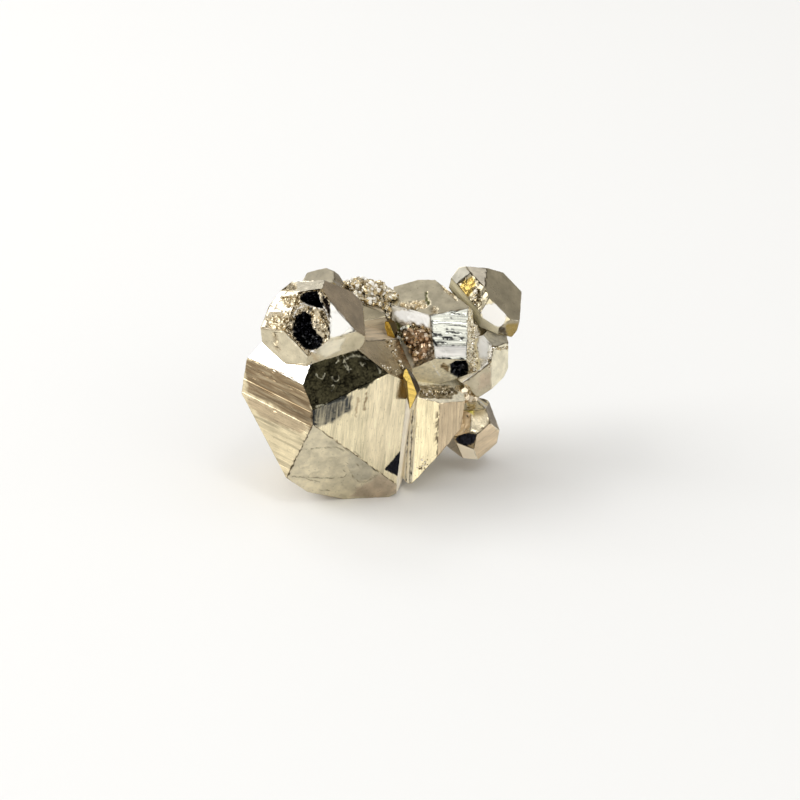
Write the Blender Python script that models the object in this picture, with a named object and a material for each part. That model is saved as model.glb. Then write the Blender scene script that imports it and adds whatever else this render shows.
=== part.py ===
"""Pyrite specimen: a large pyritohedral crystal with smaller crystals and two druse patches grown into it.

Lengths are in millimetres and turned into metres when a mesh is made. +Z is up, -Y is the front.
Each crystal is a set of flat faces: compass direction and elevation of the face normal in degrees,
and the distance of the face from the crystal's centre. Listed faces shape the sides that are seen most;
the pyrite form (pyritohedron, octahedron, cube) closes the rest.
"""
import itertools
import math

import bmesh
import bpy
from mathutils import Euler, Matrix, Vector

MM = 0.001
GAP = 0.3              # left between two intergrown crystals
NEAR_FACE = 28.0       # degrees: a form face this close to a listed one is replaced by it
FRONT = Vector((0.0, -0.926, 0.378))
FRONT_LIMIT = 0.3      # form faces that point to the front more than this are left to the listed ones
PYRITOHEDRON = 1.0     # distances of the form faces, as shares of a crystal's size
OCTAHEDRON = 1.12
CUBE = 1.3
DOWN = (0, -90)

MAIN = dict(
    centre=(-8.5, -3.6, 12.8), turn=(102, 15, 58), size=11.7,
    faces=dict(
        upper_left=(-128, 39, 13.4), left=(-133, -1, 10.5), dark_octahedron=(-69, 25, 12.5),
        front=(-61, -2, 10.8), lower_front=(-83, -24, 11.0), upper_right=(-16, 50, 12.8),
        top=(20, 71, 11.8), right=(-10, -6, 12.4), rear_left_high=(148, 34, 10.5),
        rear_left=(173, 10, 11.7), lower_left=(-175, -29, 9.3), keel_left=(-153, -71, 12.2),
        rest=(*DOWN, 12.8), keel_right=(-13, -62, 16.1), keel_rear=(-173, -47, 10.3)))

UPPER_LEFT = dict(
    centre=(-10.2, -6.3, 26.2), turn=(-59, -14, -166), size=7.2,
    faces=dict(
        top=(-148, 78, 6.6), left=(-124, 30, 6.5), pitted_front=(-99, 26, 6.2), lower_left=(-122, -2, 7.0),
        right=(-14, 41, 6.3), front_right=(-70, 25, 7.2), lower_front=(-64, -16, 7.4),
        far_left=(172, -3, 6.4), shoulder_1=(164, 16, 5.7), shoulder_2=(152, 31, 5.2),
        rear_top=(85, 52, 4.7), rear_right=(45, 33, 6.9), far_right=(6, -5, 7.3),
        under_left=(-167, -48, 6.3), under=(-101, -73, 5.6)))

UPPER_RIGHT = dict(
    centre=(15.3, 9.3, 23.4), turn=(163, -13, 175), size=5.7,
    faces=dict(
        left=(-150, -14, 3.9), upper_left=(-128, 33, 5.7), top=(-61, 65, 5.3), gold=(-124, 30, 5.5),
        right=(-28, 44, 4.1), front=(-86, 14, 6.3), lower_right=(-56, -29, 6.4), lower=(-118, -30, 5.3),
        shoulder=(149, 28, 5.6), rear_top=(89, 54, 4.3), rear_right=(31, 36, 4.8), far_right=(-1, -9, 4.9),
        under_right=(1, -36, 5.3), under_left=(-174, -37, 3.1), under=(-146, -65, 3.3)))

CENTRE = dict(
    centre=(7.1, 7.2, 19.9), turn=(90, 0, 55), size=7.6,
    faces=dict(
        top=(-104, 73, 6.1), left=(-117, 20, 6.7), striped_front=(-84, 26, 7.3), lower_front=(-88, -27, 8.3),
        right=(-32, 13, 8.2), rear_left=(121, 49, 7.4), rear_top=(84, 55, 7.1), rear_right=(28, 36, 5.4),
        far_left=(174, -4, 5.2), far_right=(8, 2, 5.5)))

RIGHT_FRONT = dict(
    centre=(7.8, 1.4, 7.9), turn=(57, 16, 19), size=8.0,
    faces=dict(
        front=(-89, 19, 6.2), front_right=(-63, 16, 5.7), top=(-47, 70, 5.8), left=(-156, 11, 5.7),
        bevel=(-34, 76, 5.8), under=(*DOWN, 6.7), keel=(-14, -37, 3.3), far_right=(5, -12, 2.9),
        under_right=(-8, -43, 2.7)))

LOWER_RIGHT = dict(
    centre=(13.4, 4.2, 5.4), turn=(59, 1, -138), size=4.3,
    faces=dict(
        black=(-94, 10, 4.6), lower=(-104, -17, 5.0), right=(-51, 0, 3.8), upper=(-78, 48, 3.7),
        far_right=(-16, 34, 3.7), upper_left=(-111, 48, 3.8), top=(-99, 87, 3.6), rear_right=(18, 10, 3.2),
        side=(8, -12, 3.4), under_right=(-15, -53, 3.6), under=(*DOWN, 3.2), under_left=(-166, -64, 4.4),
        rear_top=(52, 48, 4.7)))

RIGHT_REAR = dict(
    centre=(15.4, 5.5, 15.5), turn=(-42, 0, -99), size=5.2,
    faces=dict(
        left=(-116, 18, 4.7), right=(-41, 4, 3.7), lower_front=(-102, 2, 4.9), upper=(-35, 52, 5.1),
        far_right=(12, -1, 2.5), side=(2, -29, 2.6), under_right=(-13, -52, 2.8)))

REAR_LEFT = dict(
    centre=(-8.6, 5.8, 26.7), turn=(86, 5, 36), size=3.6,
    faces=dict(
        top=(-90, 63, 3.3), right=(-16, 32, 3.1), front=(-89, -1, 2.9), shoulder=(161, 13, 2.6),
        rear_left=(119, 50, 2.5), rear_top=(53, 48, 2.6), rear_right=(30, 27, 2.6)))

REAR_MIDDLE = dict(
    centre=(-1.5, 5.9, 21.6), turn=(24, -28, 33), size=4.6,
    faces=dict(
        top=(-41, 72, 3.6), bevel=(-85, 51, 4.2), front=(-77, 0, 4.1), right=(-20, 26, 3.7),
        rear_top=(82, 51, 2.0), far_right=(18, 7, 1.0), left=(171, -4, 4.6)))

REAR_FOOT = dict(
    centre=(-0.6, 9.0, 5.6), turn=(12, 24, 40), size=5.8,
    faces=dict(rest=(*DOWN, 5.6), front=(-90, 20, 5.8)))

UPPER_FLAKE = dict(
    centre=(0.6, 0.2, 21.2), turn=(20, 30, 10), size=2.4,
    faces=dict(left=(-140, 20, 0.9), right=(-20, 20, 0.8), top=(-90, 70, 2.2), under=(-90, -60, 2.4)))

LOWER_FLAKE = dict(
    centre=(2.9, -5.6, 14.5), turn=(15, 10, 35), size=3.2,
    faces=dict(left=(-150, 12, 0.8), right=(-5, 18, 0.7), top=(-90, 66, 2.6), under=(-90, -48, 3.4)))

GRANULAR_DRUSE = dict(
    size=1.5, spin=37,
    centres=((-5.2, 6.4, 26.0), (-3.6, 6.8, 26.6), (-2.2, 6.2, 26.5), (-0.8, 6.6, 26.0), (0.6, 6.2, 25.0),
             (-3.9, 5.2, 25.3), (-2.0, 5.0, 25.0), (-0.4, 5.0, 24.2), (0.9, 5.0, 23.4)))

BROWN_DRUSE = dict(
    size=1.25, spin=53,
    centres=((3.2, 0.4, 20.0), (4.7, 0.2, 20.2), (3.0, -0.2, 18.4), (4.6, -0.3, 18.5), (3.9, 0.1, 19.2),
             (5.6, 0.3, 19.3)))

FINISHES = dict(
    main_crystal=((0.68, 0.61, 0.43), 0.22),
    upper_left_crystal=((0.64, 0.57, 0.43), 0.25),
    upper_right_crystal=((0.60, 0.55, 0.38), 0.20),
    centre_crystal=((0.62, 0.58, 0.46), 0.24),
    right_front_crystal=((0.70, 0.63, 0.46), 0.24),
    lower_right_crystal=((0.66, 0.58, 0.44), 0.22),
    right_rear_crystal=((0.66, 0.61, 0.47), 0.24),
    rear_left_crystal=((0.60, 0.56, 0.43), 0.30),
    rear_middle_crystal=((0.56, 0.52, 0.38), 0.30),
    rear_foot_crystal=((0.60, 0.54, 0.40), 0.32),
    upper_flake=((0.66, 0.46, 0.12), 0.28),
    lower_flake=((0.80, 0.56, 0.16), 0.24),
    granular_druse=((0.66, 0.60, 0.46), 0.30),
    brown_druse=((0.46, 0.32, 0.20), 0.42),
)


def clear_scene():
    for obj in list(bpy.data.objects):
        bpy.data.objects.remove(obj, do_unlink=True)


def direction(azimuth, elevation):
    a, e = math.radians(azimuth), math.radians(elevation)
    return Vector((math.cos(e) * math.cos(a), math.cos(e) * math.sin(a), math.sin(e)))


def pyrite_form():
    """Unit normals of the pyrite form, each with its distance as a share of the size."""
    faces = []
    for p, q in itertools.product((2, -2), (1, -1)):
        faces += [(Vector(v), PYRITOHEDRON) for v in ((p, q, 0), (0, p, q), (q, 0, p))]
    faces += [(Vector(v), OCTAHEDRON) for v in itertools.product((1, -1), repeat=3)]
    faces += [(s * axis, CUBE) for s in (1, -1) for axis in Matrix.Identity(3)]
    return [(v.normalized(), share) for v, share in faces]


def face_planes(crystal):
    """(normal, distance) of every face of a crystal."""
    listed = [(direction(az, el), far) for az, el, far in crystal["faces"].values()]
    turn = Euler([math.radians(t) for t in crystal["turn"]]).to_matrix()
    planes = list(listed)
    for normal, share in pyrite_form():
        normal = turn @ normal
        close = any(math.degrees(normal.angle(other)) < NEAR_FACE for other, _ in listed)
        if not close and normal.dot(FRONT) < FRONT_LIMIT:
            planes.append((normal, share * crystal["size"]))
    return planes


def cut_block(centre, planes, reach, grow=0.0):
    """A block cut back to each plane in turn."""
    bm = bmesh.new()
    bmesh.ops.create_cube(bm, size=4 * reach)
    for normal, far in planes:
        if far + grow > 2 * reach:
            continue
        geometry = bm.verts[:] + bm.edges[:] + bm.faces[:]
        point = normal * (far + grow)
        bmesh.ops.bisect_plane(bm, geom=geometry, dist=1e-5, plane_co=point, plane_no=normal, clear_outer=True)
        rim = [edge for edge in bm.edges if edge.is_boundary]
        if rim:
            bmesh.ops.holes_fill(bm, edges=rim)
    bmesh.ops.remove_doubles(bm, verts=bm.verts[:], dist=0.01)
    bmesh.ops.recalc_face_normals(bm, faces=bm.faces[:])
    bmesh.ops.transform(bm, matrix=Matrix.Scale(MM, 4) @ Matrix.Translation(centre), verts=bm.verts[:])
    return bm


def add_object(name, bm):
    mesh = bpy.data.meshes.new(name)
    bm.to_mesh(mesh)
    bm.free()
    obj = bpy.data.objects.new(name, mesh)
    bpy.context.scene.collection.objects.link(obj)
    return obj


def crystal_object(name, crystal, grow=0.0):
    planes = face_planes(crystal)
    return add_object(name, cut_block(crystal["centre"], planes, 2 * crystal["size"], grow))


def combine(obj, others, operation):
    """Boolean of obj with each of the others, applied; the others are removed."""
    for other in others:
        modifier = obj.modifiers.new("combine", "BOOLEAN")
        modifier.operation = operation
        modifier.solver = "EXACT"
        modifier.object = other
    graph = bpy.context.evaluated_depsgraph_get()
    mesh = bpy.data.meshes.new_from_object(obj.evaluated_get(graph))
    obj.modifiers.clear()
    obj.data = mesh
    for other in others:
        bpy.data.objects.remove(other, do_unlink=True)


def keep_largest(obj):
    """Drops the crumbs that a cut leaves behind a neighbour."""
    bm = bmesh.new()
    bm.from_mesh(obj.data)
    left, bodies = set(bm.faces), []
    while left:
        body, stack = set(), [left.pop()]
        while stack:
            face = stack.pop()
            body.add(face)
            near = {other for edge in face.edges for other in edge.link_faces} & left
            left -= near
            stack += near
        bodies.append(body)
    bodies.sort(key=lambda faces: sum(face.calc_area() for face in faces))
    crumbs = [face for body in bodies[:-1] for face in body]
    bmesh.ops.delete(bm, geom=crumbs, context="FACES")
    bm.to_mesh(obj.data)
    bm.free()


def druse_object(name, druse, grow=0.0):
    """Small crystals run together, each turned a step further than the one before."""
    grains = []
    for number, centre in enumerate(druse["centres"]):
        turn = tuple(druse["spin"] * number * k % 360 for k in (1, 2, 3))
        matrix = Euler([math.radians(t) for t in turn]).to_matrix()
        planes = [(matrix @ normal, share * druse["size"]) for normal, share in pyrite_form()]
        grains.append(add_object(f"grain_{number}", cut_block(centre, planes, 6, grow)))
    body = grains[0]
    combine(body, grains[1:], "UNION")
    body.name = name
    return body


def finish_material(name):
    colour, roughness = FINISHES[name]
    material = bpy.data.materials.new(name + "_finish")
    material.use_nodes = True
    shader = material.node_tree.nodes["Principled BSDF"]
    shader.inputs["Base Color"].default_value = (*colour, 1.0)
    shader.inputs["Roughness"].default_value = roughness
    shader.inputs["Metallic"].default_value = 1.0
    return material


# oldest first: each piece is cut back from those above it
PIECES = (
    ("main_crystal", MAIN), ("centre_crystal", CENTRE), ("right_front_crystal", RIGHT_FRONT),
    ("upper_left_crystal", UPPER_LEFT), ("upper_right_crystal", UPPER_RIGHT),
    ("right_rear_crystal", RIGHT_REAR), ("lower_right_crystal", LOWER_RIGHT),
    ("rear_foot_crystal", REAR_FOOT), ("rear_left_crystal", REAR_LEFT),
    ("rear_middle_crystal", REAR_MIDDLE), ("granular_druse", GRANULAR_DRUSE),
    ("brown_druse", BROWN_DRUSE), ("upper_flake", UPPER_FLAKE), ("lower_flake", LOWER_FLAKE),
)


def make(name, shape, grow=0.0):
    return druse_object(name, shape, grow) if "centres" in shape else crystal_object(name, shape, grow)


def meets(a, b):
    """Whether two shapes are close enough to be worth cutting."""
    def ball(shape):
        points = shape.get("centres") or (shape["centre"],)
        middle = sum((Vector(p) for p in points), Vector()) / len(points)
        reach = max((Vector(p) - middle).length for p in points) + 1.5 * shape["size"]
        return middle, reach
    (middle_a, reach_a), (middle_b, reach_b) = ball(a), ball(b)
    return (middle_a - middle_b).length < reach_a + reach_b


def centre_on_origin():
    """Moves the specimen so that the middle of its bounding box, seen from above, is at the origin."""
    corners = [vertex.co for obj in bpy.data.objects for vertex in obj.data.vertices]
    middle = [(min(c[axis] for c in corners) + max(c[axis] for c in corners)) / 2 for axis in (0, 1)]
    for obj in bpy.data.objects:
        obj.data.transform(Matrix.Translation((-middle[0], -middle[1], 0.0)))


clear_scene()
for place, (name, shape) in enumerate(PIECES):
    piece = make(name, shape)
    older = [make("cutter", other, GAP) for _, other in PIECES[:place] if meets(shape, other)]
    if older:
        combine(piece, older, "DIFFERENCE")
        keep_largest(piece)
    piece.data.materials.clear()
    piece.data.materials.append(finish_material(name))
centre_on_origin()
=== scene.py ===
import math
import random

import bpy
import bmesh
from mathutils import Euler, Matrix, Vector, noise


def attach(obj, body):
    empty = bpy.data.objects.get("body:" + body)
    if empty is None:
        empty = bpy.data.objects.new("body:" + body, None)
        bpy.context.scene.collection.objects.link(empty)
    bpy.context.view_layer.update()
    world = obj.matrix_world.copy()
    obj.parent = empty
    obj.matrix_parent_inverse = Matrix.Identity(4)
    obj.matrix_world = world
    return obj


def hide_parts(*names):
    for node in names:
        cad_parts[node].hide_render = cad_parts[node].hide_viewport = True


# Pyrite specimen. Shapes are worked out in millimetres; +Z is up and -Y is the front.
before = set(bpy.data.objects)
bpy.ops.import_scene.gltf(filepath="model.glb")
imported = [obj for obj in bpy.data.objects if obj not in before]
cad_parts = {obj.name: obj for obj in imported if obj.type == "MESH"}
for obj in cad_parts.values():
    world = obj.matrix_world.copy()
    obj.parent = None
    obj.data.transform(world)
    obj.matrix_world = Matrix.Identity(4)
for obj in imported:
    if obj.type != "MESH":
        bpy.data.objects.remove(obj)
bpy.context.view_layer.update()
mm = 0.001
noise.seed_set(5)    # otherwise the wear along the edges follows the clock
print("frame loaded:", len(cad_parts), "crystals and patches")

# in order of growth: each one was cut by those before it
grown = ["main_crystal", "centre_crystal", "right_front_crystal", "upper_left_crystal", "upper_right_crystal",
         "right_rear_crystal", "lower_right_crystal", "rear_foot_crystal", "rear_left_crystal",
         "rear_middle_crystal", "granular_druse", "brown_druse", "upper_flake", "lower_flake"]

# when two faces count as one: cosines between their directions, then gaps in mm and areas in mm2
match = {
    "plane": 0.9997, "shared": 0.9995, "hull": 0.999, "flake": 0.995, "look": 0.985, "seam": 0.98,
    "planeGap": 0.03, "sharedGap": 0.45, "outside": 0.02, "smallest": 0.05, "sliver": 0.02,
}
overlap = 0.35    # how far a crystal runs on into the one that cut it


def compass(azimuth, elevation):
    a, e = math.radians(azimuth), math.radians(elevation)
    return Vector((math.cos(e) * math.cos(a), math.cos(e) * math.sin(a), math.sin(e)))


def smooth(low, high, value):
    x = min(1.0, max(0.0, (value - low) / (high - low)))
    return x * x * (3 - 2 * x)


def blended(old, new, share):
    return [a + share * (b - a) for a, b in zip(old, new)]


# gentle noise with lumps of the given size, and the same noise read somewhere else
def ripple(p, size, shift=(0, 0, 0)):
    return noise.noise(p / size + Vector(shift))


# cells of the given size: how far p is from its cell's border, and that cell's own value
def cells(p, size, shift=(0, 0, 0)):
    near, who = noise.voronoi((p + Vector(shift)) / size)
    return near[1] - near[0], noise.cell(who[0] * 7.3)


# flat faces of a solid: [normal, distance from the origin, area]
def solidFaces(name):
    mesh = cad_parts[name].data
    found = []
    for polygon in mesh.polygons:
        if polygon.area < 1e-10:
            continue
        normal = Vector(polygon.normal)
        far = normal.dot(mesh.vertices[polygon.vertices[0]].co) / mm
        for face in found:
            if face[0].dot(normal) > match["plane"] and abs(face[1] - far) < match["planeGap"]:
                face[2] += polygon.area / mm ** 2
                break
        else:
            found.append([normal, far, polygon.area / mm ** 2])
    return found


facesOf = {name: solidFaces(name) for name in grown}


def hullFaces(points):
    hull = bmesh.new()
    for p in points:
        hull.verts.new(p)
    bmesh.ops.convex_hull(hull, input=hull.verts[:])
    found = [(face.normal.copy(), face.normal.dot(face.verts[0].co), face.calc_area()) for face in hull.faces]
    hull.free()
    return found


# a crystal's own faces as they are, and the sides it shares with a neighbour pushed into that neighbour
def crystalPlanes(name):
    points = [v.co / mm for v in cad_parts[name].data.vertices]
    others = [face for other in grown[:grown.index(name)] for face in facesOf[other]]
    planes = []
    for normal, far, area in facesOf[name]:
        outside = max(normal.dot(p) for p in points) - far
        shared = any(normal.dot(o[0]) < -match["shared"] and abs(-o[1] - far) < match["sharedGap"]
                     for o in others)
        if outside < match["outside"] and area > match["smallest"] and not shared:
            planes.append((normal, far))
    for normal, far, area in hullFaces(points):
        if area >= match["sliver"] and all(normal.dot(n) < match["hull"] for n, _ in planes):
            planes.append((normal, far + overlap))
    return planes


def cornerPlanes(points):
    planes = []
    for normal, far, _ in hullFaces(points):
        if all(normal.dot(n) < match["flake"] for n, _ in planes):
            planes.append((normal, far))
    return planes


# a block cut back to each plane in turn, as (corners, faces as loops of corners)
block = {"size": 60, "weld": 0.03, "flat": 0.01}


def cutBlock(planes, centre):
    bm = bmesh.new()
    bmesh.ops.create_cube(bm, size=block["size"], matrix=Matrix.Translation(centre))
    for normal, far in planes:
        everything = bm.verts[:] + bm.edges[:] + bm.faces[:]
        bmesh.ops.bisect_plane(bm, geom=everything, dist=1e-4, plane_co=normal * far, plane_no=normal,
                               clear_outer=True)
        rim = [edge for edge in bm.edges if edge.is_boundary]
        if rim:
            bmesh.ops.holes_fill(bm, edges=rim)
    bmesh.ops.remove_doubles(bm, verts=bm.verts[:], dist=block["weld"])
    bmesh.ops.dissolve_limit(bm, angle_limit=block["flat"], verts=bm.verts[:], edges=bm.edges[:])
    bmesh.ops.recalc_face_normals(bm, faces=bm.faces[:])
    bm.verts.ensure_lookup_table()
    corners = [v.co.copy() for v in bm.verts]
    faces = [([v.index for v in face.verts], face.normal.copy()) for face in bm.faces]
    bm.free()
    return corners, faces


# a face's sides as (a, b, c), with a*s + b*t >= c inside them
def sidesOf(outline):
    sides = []
    for here, there in zip(outline, outline[1:] + outline[:1]):
        ds, dt = there[0] - here[0], there[1] - here[1]
        length = math.hypot(ds, dt)
        if length > 1e-6:
            a, b = -dt / length, ds / length
            sides.append((a, b, a * here[0] + b * here[1]))
    return sides


# the outline with a rim of the given width cut off all round
def insetOf(outline, rim):
    inset = outline
    for a, b, c in sidesOf(outline):
        kept = []
        for here, there in zip(inset, inset[1:] + inset[:1]):
            depth = a * here[0] + b * here[1] - (c + rim)
            depthThere = a * there[0] + b * there[1] - (c + rim)
            if depth >= 0:
                kept.append(here)
            if (depth >= 0) != (depthThere >= 0):
                share = depth / (depth - depthThere)
                kept.append((here[0] + share * (there[0] - here[0]), here[1] + share * (there[1] - here[1])))
        inset = kept
        if len(inset) < 3:
            break
    return inset


# where each line across the face starts and ends
def spansOf(lines, inset):
    spans, sides = [], sidesOf(inset)
    for s in lines:
        top, bottom = 1e9, -1e9
        for a, b, c in sides:
            if b > 1e-9:
                bottom = max(bottom, (c - a * s) / b)
            elif b < -1e-9:
                top = min(top, (c - a * s) / b)
        spans.append((bottom, max(top, bottom + 0.004)))
    return spans


# what a mark does to the surface under it: its colour and roughness, depth in mm, and the lumps, streaks
# and flecks it adds. Some are the stone's own colour and some are painted light: painted shade, painted
# dark reflections and painted highlights
stainsAndPaintedLight = {
    # painted shade in pits, gaps and recesses, and painted dark reflections on striations
    "blackShade": {"colour": (0.014, 0.014, 0.018), "rough": 0.26, "deep": 0.04, "bumps": 0.08},
    # a real hollow painted near-black as shade, with painted glints (spark) on some lumps inside it
    "shadedVoid": {"colour": (0.016, 0.016, 0.02), "rough": 0.3, "deep": 0.85, "bumps": 0.55,
             "spark": (0.3, 0.31, 0.31)},
    # slit and pit: painted shade in narrow cuts and small pits
    "slit": {"colour": (0.02, 0.014, 0.012), "rough": 0.35, "deep": 0.35, "bumps": 0.1},
    "pit": {"colour": (0.06, 0.05, 0.03), "rough": 0.35, "deep": 0.14, "bumps": 0.05},
    "crack": {"colour": (0.16, 0.12, 0.07), "rough": 0.4, "deep": 0.05},
    "growth": {"colour": (0.34, 0.3, 0.21), "rough": 0.45, "deep": 0.03},
    # brown: on the main crystal's striated left face it is painted darker reflection over the upper part
    "brown": {"colour": (0.29, 0.205, 0.115), "rough": 0.2, "streaky": 0.35},
    "tan": {"colour": (0.6, 0.48, 0.31), "rough": 0.2},
    # umber: dark brown spots, and along edges a painted dark edge reflection
    "umber": {"colour": (0.1, 0.075, 0.04), "rough": 0.3, "deep": 0.02, "bumps": 0.03},
    "slate": {"colour": (0.06, 0.065, 0.066), "rough": 0.3, "deep": 0.01, "bumps": 0.03, "flecks": 0.15,
              "streaky": 0.5},
    "soot": {"colour": (0.06, 0.056, 0.034), "rough": 0.36, "deep": 0.05, "bumps": 0.12},
    "honey": {"colour": (0.42, 0.3, 0.09), "rough": 0.22, "bumps": 0.03},
    "olive": {"colour": (0.16, 0.155, 0.06), "rough": 0.35, "deep": 0.05, "bumps": 0.1},
    "lime": {"colour": (0.85, 0.78, 0.2), "rough": 0.25, "bumps": 0.05},
    # peach: painted light, the lighter side of a face
    "peach": {"colour": (1.0, 0.87, 0.6), "rough": 0.17},
    "oldGold": {"colour": (0.34, 0.24, 0.05), "rough": 0.28, "deep": 0.02, "bumps": 0.05},
    # pearl and satin: painted highlights, near-white and dull so they show white under any light
    "pearlSheen": {"colour": (0.93, 0.91, 0.87), "rough": 0.78, "deep": -0.03},
    "satinSheen": {"colour": (0.96, 0.95, 0.92), "rough": 0.76, "bumps": 0.02},
    # cream and bright: painted highlights along edges and striations, and cream patches painted reflection of
    # the bright table
    "cream": {"colour": (0.88, 0.82, 0.66), "rough": 0.68},
    "bright": {"colour": (0.92, 0.8, 0.58), "rough": 0.18, "deep": -0.01},
    "frost": {"colour": (0.6, 0.57, 0.43), "rough": 0.66, "deep": -0.05},
    "grains": {"colour": (0.7, 0.6, 0.42), "rough": 0.3, "deep": 0.03, "bumps": 0.28},
    "gravel": {"colour": (0.5, 0.42, 0.28), "rough": 0.35, "deep": 0.05, "bumps": 0.2},
    "rubble": {"colour": (0.4, 0.32, 0.22), "rough": 0.45, "deep": 0.05, "bumps": 0.22, "flecks": 0.25},
    "pink": {"colour": (0.6, 0.5, 0.37), "rough": 0.42},
    "ash": {"colour": (0.62, 0.57, 0.44), "rough": 0.5, "bumps": 0.02},
}

# how marks stray from the paths given for them: sizes of the noise in mm, how far it carries them, and
# where along a thin line it leaves off
stray = {"fine": 0.45, "byFine": 0.16, "broad": 1.3, "byBroad": 0.12, "areaEdge": 1.6, "lineEdge": 0.8,
         "thin": 0.2, "gaps": 0.9, "cell": 0.45}


def lineDistance(path, s, t):
    best = 1e9
    for (s0, t0), (s1, t1) in zip(path, path[1:] or path):
        ds, dt = s1 - s0, t1 - t0
        long = ds * ds + dt * dt
        share = 0 if long < 1e-9 else min(1, max(0, ((s - s0) * ds + (t - t0) * dt) / long))
        best = min(best, math.hypot(s - s0 - share * ds, t - t0 - share * dt))
    return best


def inside(outline, s, t):
    odd = False
    for (s0, t0), (s1, t1) in zip(outline, outline[1:] + outline[:1]):
        if (t0 > t) != (t1 > t) and s < (s1 - s0) * (t - t0) / (t1 - t0) + s0:
            odd = not odd
    return odd


# a path with its corners cut off twice
def softened(path):
    for _ in range(2):
        middle = []
        for (s0, t0), (s1, t1) in zip(path, path[1:]):
            middle.append((0.75 * s0 + 0.25 * s1, 0.75 * t0 + 0.25 * t1))
            middle.append((0.25 * s0 + 0.75 * s1, 0.25 * t0 + 0.75 * t1))
        path = path[:1] + middle + path[-1:]
    return path


# the marks that lie on one face, as (kind of mark, reach, flat path, whether filled, box)
def marksOn(crystal, seams, normal, far, base, across, along):
    found = []
    for filled, listed in ((False, seams + crystal.get("lines", [])), (True, crystal.get("areas", []))):
        for paintKind, reach, path in listed:
            if any(abs(normal.dot(Vector(p)) - far) > 0.7 for p in path):    # mm off this face
                continue
            flat = [((Vector(p) - base).dot(across), (Vector(p) - base).dot(along)) for p in path]
            if not filled and len(flat) > 2:
                flat = softened(flat)
            box = [min(s for s, t in flat) - 2 * reach, max(s for s, t in flat) + 2 * reach]
            box += [min(t for s, t in flat) - 2 * reach, max(t for s, t in flat) + 2 * reach]
            found.append((stainsAndPaintedLight[paintKind], reach, flat, filled, box))
    return found


def strayed(p, shift=(0, 0, 0)):
    return (stray["byFine"] * ripple(p, stray["fine"], shift)
            + stray["byBroad"] * ripple(p, stray["broad"], shift))


# how much of a mark shows at a point, from 0 to 1, and how deep inside a filled mark the point is
def markShare(paintKind, reach, path, filled, s, t, p):
    depth = 0.0
    if filled:
        away = lineDistance(path + path[:1], s, t)
        depth = away if inside(path, s, t) else -away
        edge = stray["areaEdge"] * reach * ripple(p, max(0.25, 3 * reach))
        share = smooth(-reach, reach, depth + edge)
    else:
        away = lineDistance(path, s + strayed(p), t + strayed(p, (9, 4, 2)))
        share = smooth(reach, 0.3 * reach, away + stray["lineEdge"] * reach * ripple(p, 0.4))
        if reach < stray["thin"]:
            share *= smooth(-0.75, -0.05, ripple(p, stray["gaps"], (0, 0, 40)))
    if share > 0 and "flecks" in paintKind:
        share *= 1 - paintKind["flecks"] * smooth(-0.05, 0.45, ripple(p, 0.32) + 0.4 * ripple(p, 1.1))
    if share > 0 and "streaky" in paintKind:
        thread = (noise.noise(Vector((s * 2.6, t * 0.3, 3.0)))
                  + 0.5 * noise.noise(Vector((s * 6, t * 0.4, 7.0))))
        share *= 1 - paintKind["streaky"] * smooth(-0.4, 0.7, thread)
    return share, depth


# lift, colour and roughness of a point after all the marks on its face
def markedPoint(marks, s, t, p, tone, rough):
    lift = 0.0
    for paintKind, reach, path, filled, box in marks:
        if not (box[0] < s < box[1] and box[2] < t < box[3]):
            continue
        share, depth = markShare(paintKind, reach, path, filled, s, t, p)
        if share <= 0:
            continue
        tone = blended(tone, paintKind["colour"], share)
        rough += share * (paintKind["rough"] - rough)
        deep, bumps = paintKind.get("deep", 0), paintKind.get("bumps", 0)
        if filled and deep > 0.3:
            share *= smooth(-0.1, 0.75, depth)    # deep hollows have sloping walls
        lift -= share * deep
        if bumps:
            border, value = cells(p, stray["cell"])
            # spark: painted glints on the lighter cells inside a shaded hollow
            if "spark" in paintKind and value > 0.45:
                tone = blended(tone, paintKind["spark"], 0.5 * share * smooth(0.05, 0.3, border) * (value - 0.45))
            lift += share * bumps * (value + border * 0.6 - 0.5)
    return lift, tone, rough


# Ways a face can look. Each gives the places of the lines across the face, the step along them, the
# height at line k and place t, and how much darker the colour is there: on striations partly painted
# shade on the risers, elsewhere the face's own joints and blotches.

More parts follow.
